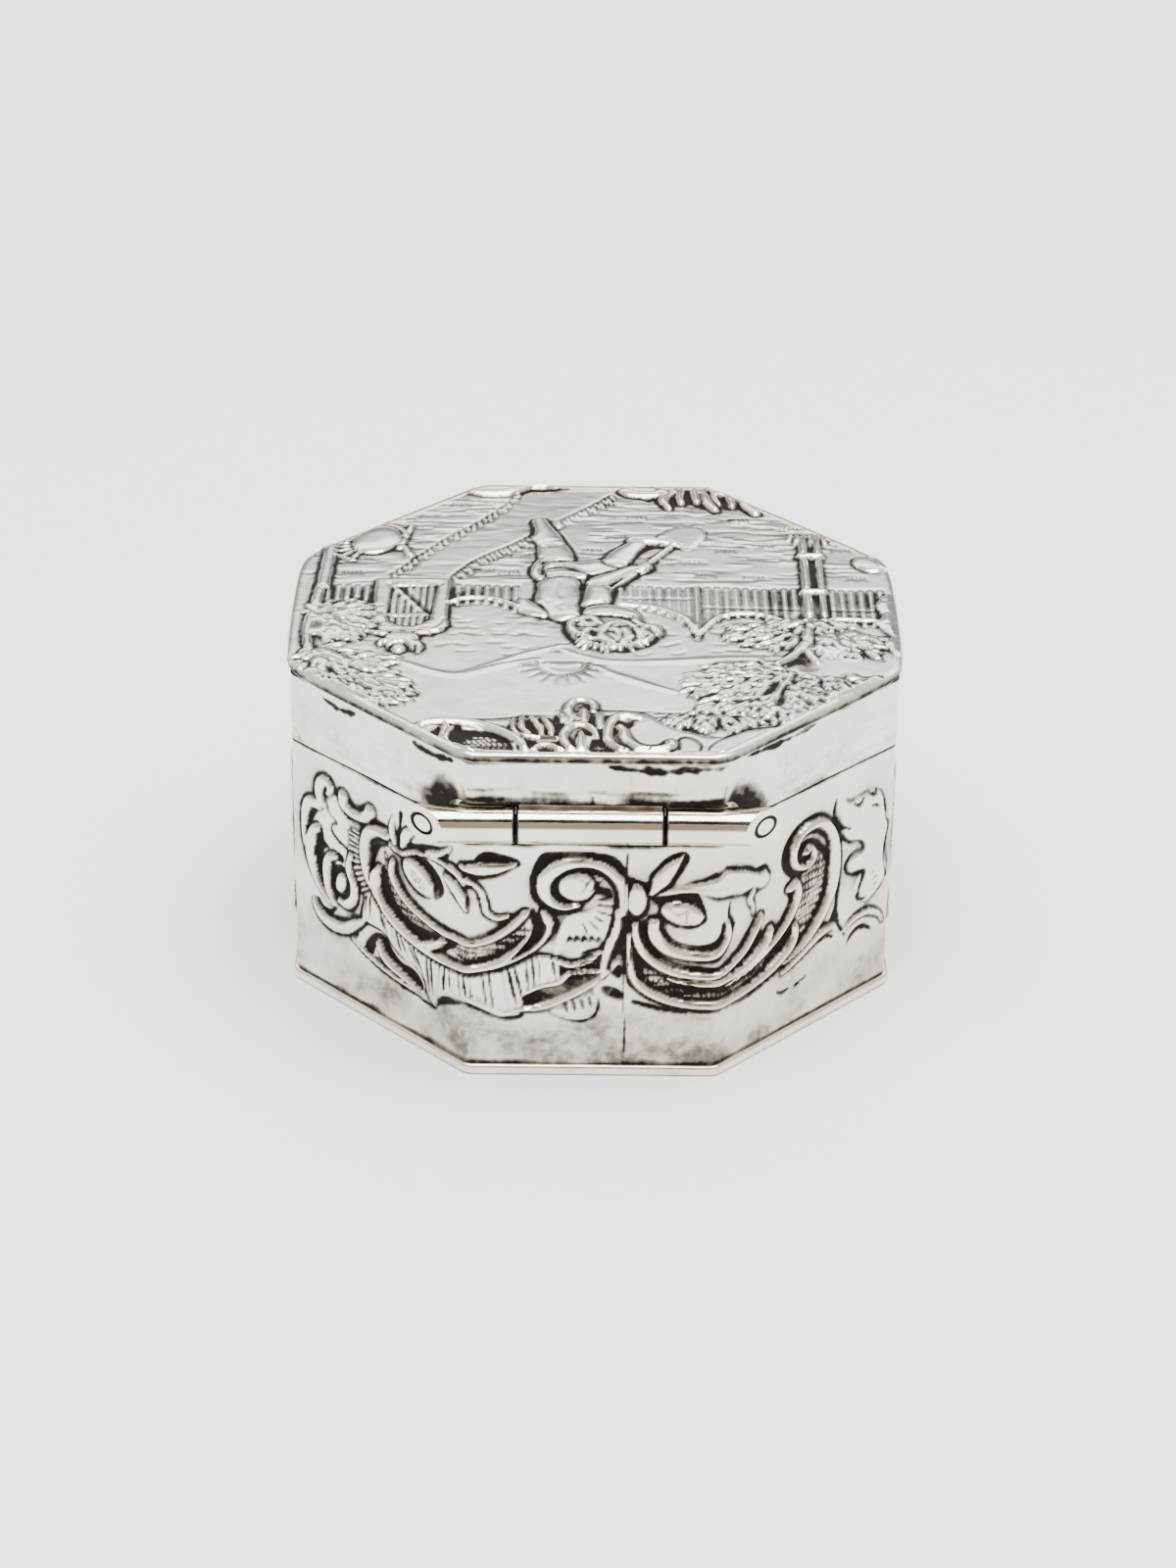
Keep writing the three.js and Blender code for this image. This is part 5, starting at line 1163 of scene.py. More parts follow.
def sheet_mesh(name, over, rings, under, dark, ring_dark=()):
    """Closed sheet: a fine face, rings round its edge, and a coarser back."""
    n, m = over.shape[:2]
    p, q = under.shape[:2]
    points = [over.reshape(-1, 3)]
    grid = np.arange(n * m).reshape(n, m)
    quads = [np.stack([grid[:-1, :-1], grid[1:, :-1], grid[1:, 1:], grid[:-1, 1:]], -1).reshape(-1, 4)]
    edge = rim_of(n, m, grid)
    total = n * m
    for ring in rings:
        following = total + np.arange(len(ring))
        total += len(ring)
        points.append(ring)
        quads.append(np.stack([np.roll(edge, -1), edge, following, np.roll(following, -1)], -1))
        edge = following
    back = total + np.arange(p * q).reshape(p, q)
    points.append(under.reshape(-1, 3))
    quads.append(np.stack([back[:-1, :-1], back[:-1, 1:], back[1:, 1:], back[1:, :-1]], -1).reshape(-1, 4))
    coarse = rim_of(p, q, back)
    c0, c1 = coarse, np.roll(coarse, -1)
    f = [np.roll(edge, -k)[::COARSER] for k in range(COARSER + 1)]
    triangles = np.concatenate([
        np.stack(corner, -1)
        for corner in ((f[1], f[0], c0), (f[2], f[1], c0), (f[2], c0, c1), (f[3], f[2], c1), (f[4], f[3], c1))
    ])
    points = np.concatenate(points)
    quads = np.concatenate(quads)
    mesh = bpy.data.meshes.new(name)
    mesh.vertices.add(len(points))
    mesh.vertices.foreach_set("co", (points * MM).ravel())
    loops = np.concatenate([quads.ravel(), triangles.ravel()]).astype(np.int32)
    mesh.loops.add(len(loops))
    mesh.loops.foreach_set("vertex_index", loops)
    corners = np.array([4] * len(quads) + [3] * len(triangles))
    mesh.polygons.add(len(corners))
    mesh.polygons.foreach_set("loop_start", (np.cumsum(corners) - corners).astype(np.int32))
    mesh.update(calc_edges=True)
    mesh.shade_smooth()
    mesh.set_sharp_from_angle(angle=math.radians(SHARP))
    shade = np.zeros(len(points))
    shade[: n * m] = dark.ravel()
    for number, level in enumerate(ring_dark):
        shade[n * m + number * len(level): n * m + (number + 1) * len(level)] = level
    # This attribute holds the hollows' patina and the painted shade
    mesh.attributes.new("patina_and_shade", "FLOAT", "POINT").data.foreach_set("value", shade)
    piece = bpy.data.objects.new(name, mesh)
    bpy.context.collection.objects.link(piece)
    return piece


def hinge_clearance(places, own, other):
    """Radius of the room for the hinge at each place: close round some knuckles, wider round the others."""
    x = places[..., 0]
    at_middle = (x > MIDDLE[0] - KNUCKLE_GAP) & (x < MIDDLE[1] + KNUCKLE_GAP)
    return np.where(at_middle, other, own)


def cut_height(t, out, own, other, side):
    """Height at which the hinge's room cuts a wall, below the axis (-1) or above it (1)."""
    places, _ = around(t, np.full(np.shape(t), out))
    radius = hinge_clearance(places, own, other)
    depth = np.abs(places[..., 1] - AXIS_Y)
    return np.where(depth < radius, AXIS_Z + side * np.sqrt(np.maximum(radius**2 - depth**2, 0)), -side * WIDTH)


def rolled_sheet(name, sheet, start, end, cells, bottom, top, thickness, echo=ECHO):
    """Strip of chased sheet bent round the octagon. Bottom and top give its edges' heights along it."""

    def face(t, out_of, levels):
        low, high = bottom(t)[:, None], top(t)[:, None]
        z = low + (high - low) * levels[None, :]
        along = np.broadcast_to(t[:, None], z.shape)
        places, _ = around(along, out_of(along, z))
        return np.dstack([places, z]), along, z

    columns, rows = cells
    fine = np.linspace(start, end, columns + 1)
    coarse = fine[::COARSER]
    over, along, z = face(fine, sheet.height_at, np.linspace(0, 1, rows + 1))
    soft = Relief.copy_of(sheet, blurred(sheet.height, ECHO_BLUR))
    levels = np.linspace(0, 1, rows // COARSER + 1)
    under, _, _ = face(coarse, lambda t, z: echo * soft.height_at(t, z) - thickness, levels)
    return sheet_mesh(name, over, [], under, sheet.shade_at(along, z))


def lid_sheet(name, sheet, count, crown, bead):
    """Lid: the chased picture, the rounded rim that overhangs the band, and the hollow back."""

    def face(many, inset):
        y = np.linspace(-1, 1, many + 1) * (HALF_WIDTH - inset)
        x = inside_octagon(y, inset)[None, :] * np.linspace(-1, 1, many + 1)[:, None]
        return x, np.broadcast_to(y[None, :], x.shape)

    def dome(x, y):
        return crown * (1 - (x**2 + y**2) / HALF_WIDTH**2)

    x, y = face(count, 0.0)
    slant = SLANT_AWAY - (np.abs(x) + np.abs(y)) / math.sqrt(2)
    walls = np.minimum.reduce([HALF_WIDTH - np.abs(x), HALF_WIDTH - np.abs(y), slant])
    fade = np.clip((walls - 0.5 * bead) / 0.2, 0, 1)
    fade = fade * fade * (3 - 2 * fade)
    height = sheet.height_at(x, y)
    lip = 0.03 * np.exp(-((walls / 0.14) ** 2))
    z = RIM_TOP + np.clip(dome(x, y), 0, None) * fade + np.minimum(height, 0.36) * fade + lip
    over = np.dstack([x, y, z])
    dark = sheet.shade_at(x, y) * fade
    edge = rim_of(count + 1, count + 1, np.arange((count + 1) ** 2).reshape(count + 1, -1))
    line = over.reshape(-1, 3)[edge]
    normal = outward(line[:, :2])
    rings, ring_dark = [], []
    half = (RIM_TOP - RIM_UNDER) / 2
    run = np.arange(len(line)) * 0.135
    wavy = 0.5 + 0.25 * np.sin(0.9 * run + 2 * np.sin(0.31 * run)) + 0.25 * np.sin(2.3 * run + 3 * np.sin(0.53 * run))
    steps = len(RIM_PAINTED_SHADE)
    # Painted shade and dark reflection down the rim's rolled edge, in a wavy line
    for step, tarnish in enumerate(RIM_PAINTED_SHADE, 1):
        angle = math.pi / 2 - step * math.pi / steps
        drop = line[:, 2] * (1 - step / steps) + RIM_TOP * step / steps - half * (1 - math.sin(angle))
        rings.append(np.column_stack([line[:, :2] + (RIM_SPREAD - RIM_ROUND * (1 - math.cos(angle))) * normal, drop]))
        ring_dark.append(np.clip(tarnish * (0.8 + 0.7 * wavy), 0, 0.95))
    rings.append(np.column_stack([line[:, :2] - 0.6 * normal, np.full(len(line), RIM_UNDER)]))
    back_x, back_y = face(count // COARSER, BACK_INSET)
    soft = Relief.copy_of(sheet, blurred(sheet.height, ECHO_BLUR))
    inner = RIM_TOP - LID_SHEET + ECHO * soft.height_at(back_x, back_y) + dome(back_x, back_y) - BACK_SUNK
    under = np.dstack([back_x, back_y, inner])
    return sheet_mesh(name, over, rings, under, dark, ring_dark)


def outward(line):
    """Directions in which places on the octagon's edge face, turning smoothly round its corners."""
    angles, away, _, _ = wall_table()
    normals = np.column_stack([np.cos(angles), np.sin(angles)])
    reach = line @ normals.T - away
    weights = np.exp((reach - reach.max(1, keepdims=True)) / 0.4)
    blend = weights @ normals
    return blend / np.linalg.norm(blend, axis=1, keepdims=True)


# Finishes of the silver: how polished, tarnished, dented and scratched

FINISHES = {
    "chased_silver": (0.15, 0.22, 0.4, 0.25),
    "chased_lid_silver": (0.16, 0.22, 0.45, 0.25),
    "plain_silver": (0.17, 0.2, 0.22, 0.3),
    "polished_silver": (0.07, 0.05, 0.12, 0.12),
    "dark_solder": (0.45, 0.6, 0.6, 0.2),
    "inside_silver": (0.3, 0.45, 0.3, 0.4),
}
# Brown of thin tarnish, used also for painted shade
TARNISH_AND_SHADE_BROWN = (0.26, 0.235, 0.2, 1)


def add_node(tree, kind, inputs=(), **settings):
    """Shader node with its settings, and its sockets set or joined."""
    node = tree.nodes.new(kind)
    for key, value in settings.items():
        setattr(node, key, value)
    for socket, value in dict(inputs).items():
        if isinstance(value, bpy.types.NodeSocket):
            tree.links.new(value, node.inputs[socket])
        else:
            node.inputs[socket].default_value = value
    return node


def bare_material(name):
    """New material with no nodes in it yet."""
    material = bpy.data.materials.new(name)
    material.use_nodes = True
    material.node_tree.nodes.clear()
    return material, material.node_tree


def put_out(tree, surface):
    """End a material's nodes with its surface."""
    output = add_node(tree, "ShaderNodeOutputMaterial")
    tree.links.new(surface, output.inputs["Surface"])


def blend_colour(tree, share, first, second):
    """Mix of two colours. The node's colour sockets share their names, so they go by number."""
    return add_node(tree, "ShaderNodeMix", {0: share, 6: first, 7: second}, data_type="RGBA").outputs[2]


def sums(tree, operation, first, second=0.0):
    """One sum on two values."""
    clamped = operation == "MAXIMUM"
    return add_node(tree, "ShaderNodeMath", {0: first, 1: second}, operation=operation, use_clamp=clamped).outputs[0]


def fitted(tree, value, low, high, to_low=0.0, to_high=1.0):
    """Value moved from one range to another, held within it."""
    names = {"Value": value, "From Min": low, "From Max": high, "To Min": to_low, "To Max": to_high}
    return add_node(tree, "ShaderNodeMapRange", names).outputs["Result"]


def cloud(tree, place, scale, detail=4.0, roughness=0.55):
    """Soft noise, that many waves to the metre."""
    names = {"Vector": place, "Scale": scale, "Detail": detail, "Roughness": roughness}
    return add_node(tree, "ShaderNodeTexNoise", names).outputs["Fac"]


def hinge_gap_shade(tree, place):
    """Painted shade in the gaps between the hinge's tubes and round the pin's end."""
    x, y, z = add_node(tree, "ShaderNodeSeparateXYZ", {0: place}).outputs

    def close_to(value, middle, full, none):
        """One near a value and nothing away from it."""
        off = sums(tree, "ABSOLUTE", sums(tree, "SUBTRACT", value, middle * MM))
        return fitted(tree, off, full * MM, none * MM, 1.0, 0.0)

    near = [close_to(x, gap, 0.12, 0.24) for gap in (MIDDLE[0] - TUBE_GAP / 2, MIDDLE[1] + TUBE_GAP / 2)]
    across, up = (
        sums(tree, "POWER", sums(tree, "SUBTRACT", value, middle * MM), 2.0)
        for value, middle in ((y, AXIS_Y), (z, AXIS_Z))
    )
    ring = close_to(sums(tree, "SQRT", sums(tree, "ADD", across, up)), 0.6, 0.06, 0.14)
    return sums(tree, "MAXIMUM", sums(tree, "MAXIMUM", *near), ring)


def silver_finish(name, bright, warm, oxide_and_shade, polish, tarnish, dents, scratches):
    """Old silver: bright where it rubs, black in the hollows, with tarnish blotches, dents and fine scratches."""
    material, tree = bare_material(name)
    place = add_node(tree, "ShaderNodeTexCoord").outputs["Object"]
    # The attribute holds the hollows' patina and the painted shade
    kept = add_node(tree, "ShaderNodeAttribute", attribute_name="patina_and_shade").outputs["Fac"]
    # The polished hinge takes painted shade in its gaps in place of the attribute
    if name == "polished_silver":
        kept = hinge_gap_shade(tree, place)

    blotch = fitted(tree, cloud(tree, place, 260.0, 6.0, 0.62), 0.46, 0.78)
    # Uneven strength of the patina and of the painted shade
    uneven_darkening = fitted(tree, cloud(tree, place, 1900.0, 3.0), 0.3, 0.75, 0.8, 1.4)
    dark = sums(tree, "MAXIMUM", sums(tree, "MULTIPLY", kept, uneven_darkening), sums(tree, "MULTIPLY", blotch, tarnish))
    metal = blend_colour(tree, fitted(tree, cloud(tree, place, 70.0), 0.35, 0.65), bright, warm)
    brown = blend_colour(tree, fitted(tree, dark, 0.0, 0.5), metal, TARNISH_AND_SHADE_BROWN)
    colour = blend_colour(tree, fitted(tree, dark, 0.3, 0.85), brown, oxide_and_shade)

    stretched = add_node(tree, "ShaderNodeMapping", {
        "Vector": place, "Rotation": (0.3, 0.2, 0.9), "Scale": (1.0, 14.0, 14.0)})
    hairline = cloud(tree, stretched.outputs["Vector"], 420.0, 3.0, 0.7)
    rough = sums(tree, "ADD", fitted(tree, dark, 0.15, 1.0, polish, 0.62), fitted(tree, hairline, 0.4, 0.8, 0.0, 0.12))
    flaws = add_node(tree, "ShaderNodeBump", {
        "Height": cloud(tree, place, 520.0, 2.0), "Strength": dents, "Distance": 0.00006})
    lines = add_node(tree, "ShaderNodeBump", {
        "Height": hairline, "Strength": scratches, "Distance": 0.00001, "Normal": flaws.outputs["Normal"]})
    shader = add_node(tree, "ShaderNodeBsdfPrincipled", {
        "Base Color": colour, "Roughness": rough, "Metallic": 1.0, "Normal": lines.outputs["Normal"]})
    put_out(tree, shader.outputs["BSDF"])
    return material


def dress(piece, material, body, slot, *nodes):
    """Give a finished piece its material, its body and the solids that it stands for. Its slot is not used."""
    piece.data.materials.clear()
    piece.data.materials.append(material)
    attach(piece, body)
    if nodes:
        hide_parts(*nodes)


def refinish(node, material):
    """Better material for a solid that is shown as it is."""
    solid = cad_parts[node]
    if not solid.material_slots:
        solid.data.materials.append(material)
    for kept in solid.material_slots:
        kept.material = material


# Pieces shaped as by hand


def new_solid(name):
    """Name the primitive just added and settle its place into its mesh."""
    piece = bpy.context.object
    piece.name = piece.data.name = name
    bpy.ops.object.transform_apply(location=True, rotation=True, scale=True)
    return piece


def nothing_selected():
    """Leave no object selected."""
    bpy.ops.object.select_all(action="DESELECT")


def select_edges(piece, wanted):
    """In edit mode, select the edges whose two ends pass a test."""
    mesh = bmesh.from_edit_mesh(piece.data)
    bpy.ops.mesh.select_mode(type="EDGE")
    bpy.ops.mesh.select_all(action="DESELECT")
    for edge in mesh.edges:
        edge.select_set(wanted(edge.verts[0].co, edge.verts[1].co))
    bmesh.update_edit_mesh(piece.data)


def applied(piece, kind, **settings):
    """Add a modifier with its settings and apply it."""
    modifier = piece.modifiers.new(kind.title(), kind)
    for key, value in settings.items():
        setattr(modifier, key, value)
    bpy.context.view_layer.objects.active = piece
    bpy.ops.object.modifier_apply(modifier=modifier.name)


def smoothed(piece, degrees):
    """Shade a piece smooth, but for edges sharper than an angle."""
    nothing_selected()
    piece.select_set(True)
    bpy.context.view_layer.objects.active = piece
    bpy.ops.object.shade_smooth_by_angle(angle=math.radians(degrees))


def octagon_block(name, spread, bottom, top):
    """Block with the octagon's outline, drawn out past the walls, its corners rounded."""
    nothing_selected()
    bpy.ops.mesh.primitive_cube_add(
        size=1, location=(0, 0, (bottom + top) / 2 * MM),
        scale=((WIDTH + 2 * spread) * MM, (WIDTH + 2 * spread) * MM, (top - bottom) * MM))
    piece = new_solid(name)
    bpy.ops.object.mode_set(mode="EDIT")
    cut = CORNER_CUT + (2 - math.sqrt(2)) * spread
    for offset, segments in ((cut, 1), ((CORNER_ROUND + spread) * math.tan(math.pi / 8), 6)):
        select_edges(piece, lambda a, b: abs(a.z - b.z) > 0.1 * MM)
        bpy.ops.mesh.bevel(offset=offset * MM, offset_type="OFFSET", segments=segments, affect="EDGES")
    bpy.ops.object.mode_set(mode="OBJECT")
    return piece


def hinge_rod(name, radius, start, end, sides=96, mitred=(False, False), reach=MITRE):
    """Rod along the hinge's axis, cut at a slant where it runs past the slanting walls."""
    nothing_selected()
    bpy.ops.mesh.primitive_cylinder_add(
        vertices=sides, radius=radius * MM, depth=(end - start) * MM,
        location=((start + end) / 2 * MM, AXIS_Y * MM, AXIS_Z * MM), rotation=(0, math.pi / 2, 0))
    piece = new_solid(name)
    bpy.ops.object.mode_set(mode="EDIT")
    away = (SLANT_AWAY + reach) * MM
    for side, wanted in zip((-1, 1), mitred):
        if wanted:
            facing = Vector((side, -1, 0)).normalized()
            bpy.ops.mesh.select_all(action="SELECT")
            bpy.ops.mesh.bisect(plane_co=away * facing, plane_no=facing, use_fill=True, clear_outer=True)
    bpy.ops.object.mode_set(mode="OBJECT")
    return piece


def bored(piece, radius, start, end):
    """Drill a hole along the hinge's axis."""
    drill = hinge_rod("drill", radius, start, end)
    applied(piece, "BOOLEAN", operation="DIFFERENCE", solver="EXACT", object=drill)
    bpy.data.objects.remove(drill)


def ringed(piece, places):
    """Cut rings round a rod at some places along it, so that it can be made lumpy."""
    bpy.context.view_layer.objects.active = piece
    bpy.ops.object.mode_set(mode="EDIT")
    for across in places:
        bpy.ops.mesh.select_all(action="SELECT")
        bpy.ops.mesh.bisect(plane_co=(across * MM, 0, 0), plane_no=(1, 0, 0))
    bpy.ops.object.mode_set(mode="OBJECT")


def softened(piece, width, segments=3):
    """Round a piece's sharp edges."""
    applied(piece, "BEVEL", width=width, segments=segments, limit_method="ANGLE", angle_limit=math.radians(35))


# Sizes and colours that a user would change


def metres(name, description, default):
    """Size in metres."""
    return bpy.props.FloatProperty(
        name=name, description=description, default=default, min=0, unit="LENGTH", precision=5)


def tint(name, description, default):
    """Colour with its alpha."""
    return bpy.props.FloatVectorProperty(
        name=name, description=description, default=default, size=4, min=0, max=1, subtype="COLOR")


class PillBoxSizes(bpy.types.PropertyGroup):
    relief: bpy.props.FloatProperty(
        name="Relief", description="Share of the chasing's full depth", default=1.0, min=0, max=1, subtype="FACTOR")
    crown: metres("Crown", "How far the lid's field rises in the middle", 0.00012)
    bead: metres("Bead", "Width of the plain edge round the lid", 0.00012)
    foot_spread: metres("Foot spread", "How far the foot stands out past the walls", 0.00028)
    foot_edge: metres("Foot edge", "Radius of the foot's rounded edge", 0.00024)
    tube: metres("Hinge tube", "Radius of the three hinge tubes", TUBE * MM)
    tube_edge: metres("Tube edge", "Radius of the tubes' broken edges", 0.00007)
    pin: metres("Hinge pin", "Radius of the pin", PIN * MM)
    pin_play: metres("Pin play", "Gap round the pin", 0.00005)
    solder: metres("Solder", "Radius of the solder line over the middle tube", 0.0002)
    thumb_width: metres("Thumbpiece width", "Width of the lug on the lid", 0.008)
    thumb_reach: metres("Thumbpiece reach", "How far the lug stands out from the lid", 0.0013)


class PillBoxColours(bpy.types.PropertyGroup):
    bright: tint("Bright silver", "Silver where it rubs clean", (0.89, 0.83, 0.724, 1))
    warm: tint("Warm silver", "Silver with a thin film of tarnish", (0.8, 0.724, 0.59, 1))
    # The oxide tone colours the hollows' patina and the painted shade
    oxide_and_shade: tint("Oxide", "Tarnish kept in the hollows", (0.016, 0.013, 0.011, 1))
    solder: tint("Solder", "Dark solder behind the hinge", (0.07, 0.045, 0.03, 1))
    inside: tint("Inside", "Duller silver inside the box", (0.8, 0.77, 0.7, 1))
    floor: tint("Floor", "Studio floor", (0.94, 0.947, 0.962, 1))


def made(context):
    """The sizes and colours as they are set now."""
    return context.scene.pill_box_sizes, context.scene.pill_box_colours


def finish_of(context, name, tone=None):
    """One of the finishes, in the box's silver or another tone, made once and then shared."""
    _, colours = made(context)
    return bpy.data.materials.get(name) or silver_finish(
        name, tone or colours.bright, tone or colours.warm, colours.oxide_and_shade, *FINISHES[name])


class PILLBOX_OT_walls(bpy.types.Operator):
    """Chased strip that makes the eight walls, in a front and a back length"""

    bl_idname = "pillbox.walls"
    bl_label = "Chased walls"

    def execute(self, context):
        sizes, _ = made(context)
        sheet = wall_scrolls()
        wall_joint_waves_and_painted_shade(sheet)
        sheet.height *= sizes.relief
        silver = finish_of(context, "chased_silver")

        def top(t):
            return np.minimum(SEAM, cut_height(t, 0.0, CLOSE_ROOM, WIDE_ROOM, -1))

        def foot(t):
            return np.full(t.shape, FOOT_TOP)

        parting = SLANT_WALL + 2 * FLAT_WALL
        for name, start, end, cells in (
            ("wall_front", STRIP_START, parting, FRONT_CELLS),
            ("wall_back", parting, STRIP_START + AROUND, BACK_CELLS),
        ):
            strip = rolled_sheet(name, sheet, start, end, cells, foot, top, WALL_SHEET)
            dress(strip, silver, "base", "silver_relief", "body_wall")
        return {"FINISHED"}


class PILLBOX_OT_lid(bpy.types.Operator):
    """Chased lid sheet with its rounded rim"""

    bl_idname = "pillbox.lid"
    bl_label = "Chased lid"

    def execute(self, context):
        sizes, _ = made(context)
        picture = lid_picture()
        turned = Relief.copy_of(picture, sizes.relief * picture.height[::-1, ::-1])
        turned.low = -(picture.low + GRID * (np.array(picture.shape) - 1))
        turned.dark, turned.wear = picture.dark[::-1, ::-1], picture.wear[::-1, ::-1]
        piece = lid_sheet("lid_sheet", turned, LID_CELLS, sizes.crown / MM, sizes.bead / MM)
        dress(piece, finish_of(context, "chased_lid_silver"), "lid", "silver_lid", "lid_top")
        return {"FINISHED"}


class PILLBOX_OT_band(bpy.types.Operator):
    """Plain band under the lid, cut away over the hinge"""

    bl_idname = "pillbox.band"
    bl_label = "Lid band"

    def execute(self, context):
        sheet = plain_band()

        def foot(t):
            return np.maximum(BAND_FOOT, cut_height(t, 0.0, WIDE_ROOM, CLOSE_ROOM, 1))

        def top(t):
            return np.full(t.shape, RIM_UNDER)

        piece = rolled_sheet(
            "lid_side_band", sheet, STRIP_START, STRIP_START + AROUND, BAND_CELLS, foot, top, WALL_SHEET, echo=0.5)
        dress(piece, finish_of(context, "plain_silver"), "lid", "silver_band", "lid_band")
        return {"FINISHED"}


class PILLBOX_OT_foot(bpy.types.Operator):
    """Flat foot plate with a rounded edge"""

    bl_idname = "pillbox.foot"
    bl_label = "Foot plate"

    def execute(self, context):
        sizes, _ = made(context)
        piece = octagon_block("foot", sizes.foot_spread / MM, 0, FOOT_TOP)
        bpy.ops.object.mode_set(mode="EDIT")
        select_edges(piece, lambda a, b: abs(a.z - b.z) < 0.01 * MM)
        bpy.ops.mesh.bevel(offset=sizes.foot_edge, segments=5, affect="EDGES")
        bpy.ops.object.mode_set(mode="OBJECT")
        smoothed(piece, 50)
        dress(piece, finish_of(context, "plain_silver"), "base", "silver_base", "base_plate")
        return {"FINISHED"}


class PILLBOX_OT_hinge(bpy.types.Operator):
    """Three hinge tubes, the pin through them and the solder over the middle one"""

    bl_idname = "pillbox.hinge"
    bl_label = "Hinge"

    def execute(self, context):
        sizes, colours = made(context)
        polished = finish_of(context, "polished_silver")
        blind = 8.9
        bore = (sizes.pin + sizes.pin_play) / MM
        radius = sizes.tube / MM
        for name, start, end, mitred, body in (
            ("hinge_tube_left", -ROD_END, MIDDLE[0] - TUBE_GAP, (True, False), "base"),
            ("hinge_tube_middle", MIDDLE[0], MIDDLE[1], (False, False), "lid"),
            ("hinge_tube_right", MIDDLE[1] + TUBE_GAP, ROD_END, (False, True), "base"),
        ):
            tube = hinge_rod(name, radius, start, end, mitred=mitred)
            bored(tube, bore, -ROD_END, blind)
            softened(tube, sizes.tube_edge)
            smoothed(tube, 8)
            dress(tube, polished, body, "silver_hinge", name.replace("hinge_tube", "knuckle"))
        pin = hinge_rod(
            "pin", sizes.pin / MM, -ROD_END, blind - 0.1, sides=64, mitred=(True, False), reach=MITRE - 0.02)
        softened(pin, 0.09 * MM, 4)
        smoothed(pin, 40)
        dress(pin, polished, "base", "pin_metal", "hinge_pin")

        first, last = MIDDLE[0] + 0.15, MIDDLE[1] - 0.15
        solder = hinge_rod("solder_line", sizes.solder / MM, first, last, sides=16)
        bpy.ops.object.mode_set(mode="EDIT")
        bpy.ops.mesh.select_all(action="SELECT")
        bpy.ops.transform.translate(value=(0, -0.02 * MM, (TUBE + 0.04) * MM))
        bpy.ops.object.mode_set(mode="OBJECT")
        ringed(solder, np.linspace(first, last, 25)[1:-1])
        lumps = bpy.data.textures.new("solder_lumps", "CLOUDS")
        lumps.noise_scale = 0.0006
        applied(solder, "DISPLACE", texture=lumps, strength=0.00016, mid_level=0.55, texture_coords="LOCAL")
        smoothed(solder, 60)
        dark = finish_of(context, "dark_solder", tone=colours.solder)
        dress(solder, dark, "lid", "silver_band")
        return {"FINISHED"}


class PILLBOX_OT_thumbpiece(bpy.types.Operator):
    """Half-round lug on the front of the lid"""

    bl_idname = "pillbox.thumbpiece"
    bl_label = "Thumbpiece"

    def execute(self, context):
        sizes, _ = made(context)
        low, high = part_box("thumbpiece")
        nothing_selected()
        bpy.ops.mesh.primitive_cylinder_add(
            vertices=96, radius=sizes.thumb_reach, depth=high.z - low.z,
            location=(0, HALF_WIDTH * MM, (low.z + high.z) / 2))
        lug = new_solid("thumb_lug")
        bpy.ops.object.mode_set(mode="EDIT")
        bpy.ops.mesh.select_all(action="SELECT")
        bpy.ops.transform.resize(value=(sizes.thumb_width / 2 / sizes.thumb_reach, 1, 1))
        bpy.ops.mesh.bisect(plane_co=(0, HALF_WIDTH * MM, 0), plane_no=(0, -1, 0), use_fill=True, clear_outer=True)
        bpy.ops.object.mode_set(mode="OBJECT")
        softened(lug, 0.18 * MM, 4)
        smoothed(lug, 40)
        dress(lug, finish_of(context, "plain_silver"), "lid", "silver_lid", "thumbpiece")
        return {"FINISHED"}


class PILLBOX_OT_inside(bpy.types.Operator):
    """Finish of the lip and the two bearers inside the box"""

    bl_idname = "pillbox.inside"
    bl_label = "Inside pieces"

    def execute(self, context):
        _, colours = made(context)
        inside = finish_of(context, "inside_silver", tone=colours.inside)
        for node in ("inner_bezel", "body_bearer", "lid_bearer"):
            refinish(node, inside)
        return {"FINISHED"}


# The photograph's camera as it was fitted, in millimetres of lens, radians and metres
FOCAL_LENGTH, SENSOR = 91.4, 36.0
PITCH, YAW, ROLL = 0.50239, 0.00314, 0.01209
DISTANCE = 0.260375
AIM = Vector((-0.000313, 0, 0.010184))


def aimed(thing, place, axis):
    """Put a lamp or a card at its place, with one of its axes towards the box."""
    thing.location = place
    thing.rotation_mode = "QUATERNION"
    thing.rotation_quaternion = (-Vector(place)).to_track_quat(axis, "Y")


def softbox(name, size, power, place):
    """Soft lamp over the box."""
    light = bpy.data.lights.new(name, "AREA")
    light.shape, light.size, light.size_y = "RECTANGLE", *size
    light.energy = power
    holder = bpy.data.objects.new(name, light)
    aimed(holder, place, "-Z")
    bpy.context.collection.objects.link(holder)


def card(name, size, place, tone, above=None):
    """Card that only the silver sees, in one tone or shading to another above its middle."""
    nothing_selected()
    bpy.ops.mesh.primitive_plane_add(size=1)
    board = bpy.context.object
    board.name = name
    board.scale = (*size, 1)
    aimed(board, place, "Z")
    felt, tree = bare_material(name)
    shade = (*tone, 1)
    if above:
        place_on_card = add_node(tree, "ShaderNodeTexCoord").outputs["Object"]
        height = add_node(tree, "ShaderNodeSeparateXYZ", {0: place_on_card}).outputs["Y"]
        shade = blend_colour(tree, fitted(tree, height, -0.14, 0.16), shade, (*above, 1))
    put_out(tree, add_node(tree, "ShaderNodeEmission", {"Color": shade, "Strength": 1.0}).outputs[0])
    board.data.materials.append(felt)
    board.visible_camera = board.visible_diffuse = board.visible_shadow = False


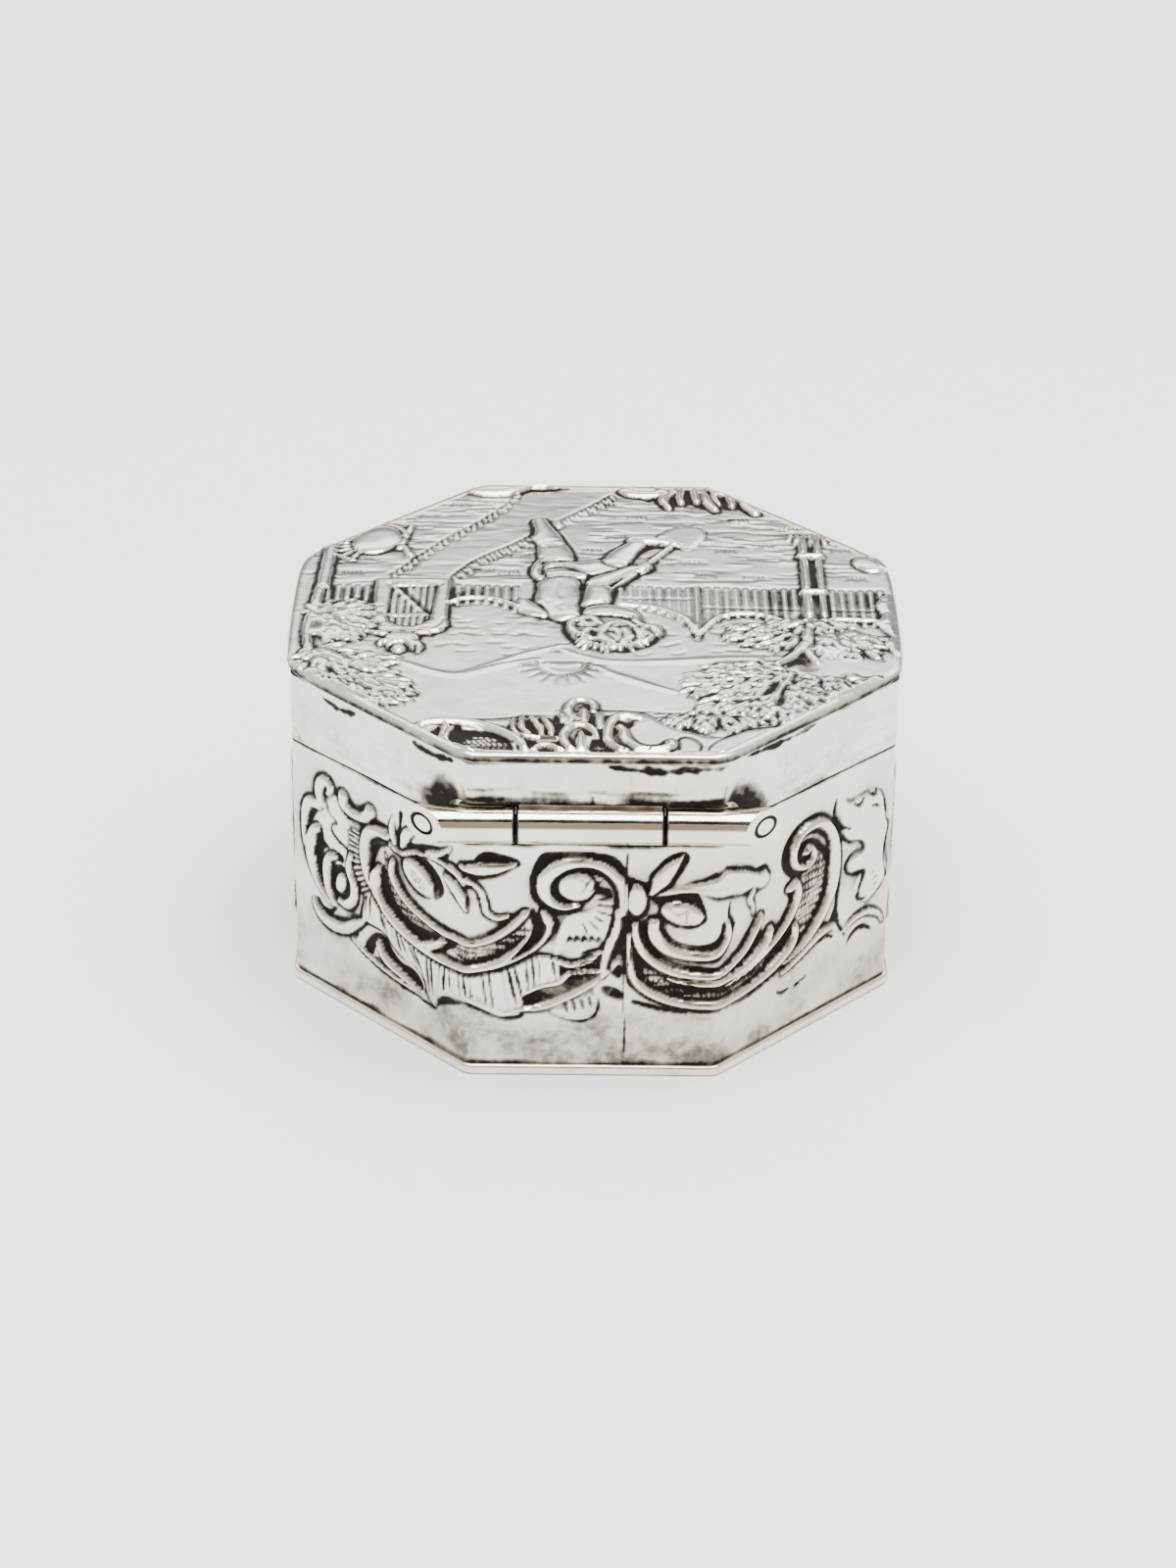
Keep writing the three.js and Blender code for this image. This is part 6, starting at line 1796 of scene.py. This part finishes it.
def photo_camera():
    """Camera that sees the box as the photograph does."""
    lens = bpy.data.cameras.new("photo_camera")
    lens.lens, lens.sensor_width = FOCAL_LENGTH, SENSOR
    lens.clip_start, lens.clip_end = 0.01, 10
    camera = bpy.data.objects.new("photo_camera", lens)
    forward = Vector((math.sin(YAW) * math.cos(PITCH), math.cos(YAW) * math.cos(PITCH), -math.sin(PITCH)))
    level = Vector((math.cos(YAW), -math.sin(YAW), 0))
    above = level.cross(forward)
    right = math.cos(ROLL) * level + math.sin(ROLL) * above
    up = -math.sin(ROLL) * level + math.cos(ROLL) * above
    turn = Matrix((right, up, -forward)).transposed()
    camera.matrix_world = Matrix.Translation(AIM - DISTANCE * forward) @ turn.to_4x4()
    bpy.context.collection.objects.link(camera)
    return camera


class PILLBOX_OT_stage(bpy.types.Operator):
    """Pale floor, soft light, three cards for the silver to mirror, and the camera"""

    bl_idname = "pillbox.stage"
    bl_label = "Studio"

    def execute(self, context):
        _, colours = made(context)
        nothing_selected()
        bpy.ops.mesh.primitive_circle_add(vertices=96, radius=2.5, fill_type="NGON", location=(0, 0, -0.00001))
        floor = new_solid("studio_floor")
        paper = bpy.data.materials.new("studio_paper")
        paper.use_nodes = True
        sheen = paper.node_tree.nodes["Principled BSDF"]
        sheen.inputs["Base Color"].default_value = colours.floor
        sheen.inputs["Roughness"].default_value = 0.6
        sheen.inputs["Specular IOR Level"].default_value = 0.2
        floor.data.materials.append(paper)

        world = bpy.data.worlds.new("studio")
        world.use_nodes = True
        sky = world.node_tree.nodes["Background"]
        sky.inputs["Color"].default_value = (0.86, 0.87, 0.89, 1)
        sky.inputs["Strength"].default_value = 1.38
        context.scene.world = world

        softbox("overhead_softbox", (0.9, 0.6), 18.0, (0.05, -0.1, 0.85))
        card("dark_card", (0.5, 0.46), (0.0, -0.62, 0.79), (0.03, 0.022, 0.018))
        card("brown_card", (0.24, 0.56), (0.0, -0.93, 0.37), (0.55, 0.44, 0.36))
        card("grey_card", (2.2, 0.9), (0.0, 1.05, 0.56), (0.3, 0.32, 0.36), above=(3.7, 3.77, 3.9))

        context.scene.camera = photo_camera()
        return {"FINISHED"}


STEPS = (
    PILLBOX_OT_stage, PILLBOX_OT_walls, PILLBOX_OT_lid, PILLBOX_OT_band, PILLBOX_OT_foot, PILLBOX_OT_hinge,
    PILLBOX_OT_thumbpiece, PILLBOX_OT_inside,
)


class PILLBOX_PT_panel(bpy.types.Panel):
    """Steps, sizes and colours of the pill box"""

    bl_label = "Pill Box"
    bl_space_type = "VIEW_3D"
    bl_region_type = "UI"
    bl_category = "Pill Box"

    def draw(self, context):
        for step in STEPS:
            self.layout.operator(step.bl_idname)
        for group in made(context):
            for name in group.bl_rna.properties.keys():
                if name not in ("rna_type", "name"):
                    self.layout.prop(group, name)


CLASSES = (PillBoxSizes, PillBoxColours, *STEPS, PILLBOX_PT_panel)


def register():
    for kind in CLASSES:
        bpy.utils.register_class(kind)
    bpy.types.Scene.pill_box_sizes = bpy.props.PointerProperty(type=PillBoxSizes)
    bpy.types.Scene.pill_box_colours = bpy.props.PointerProperty(type=PillBoxColours)


def unregister():
    del bpy.types.Scene.pill_box_sizes, bpy.types.Scene.pill_box_colours
    for kind in reversed(CLASSES):
        bpy.utils.unregister_class(kind)


def main():
    register()
    for step in STEPS:
        family, operator = step.bl_idname.split(".")
        getattr(getattr(bpy.ops, family), operator)()


if __name__ == "__main__":
    main()
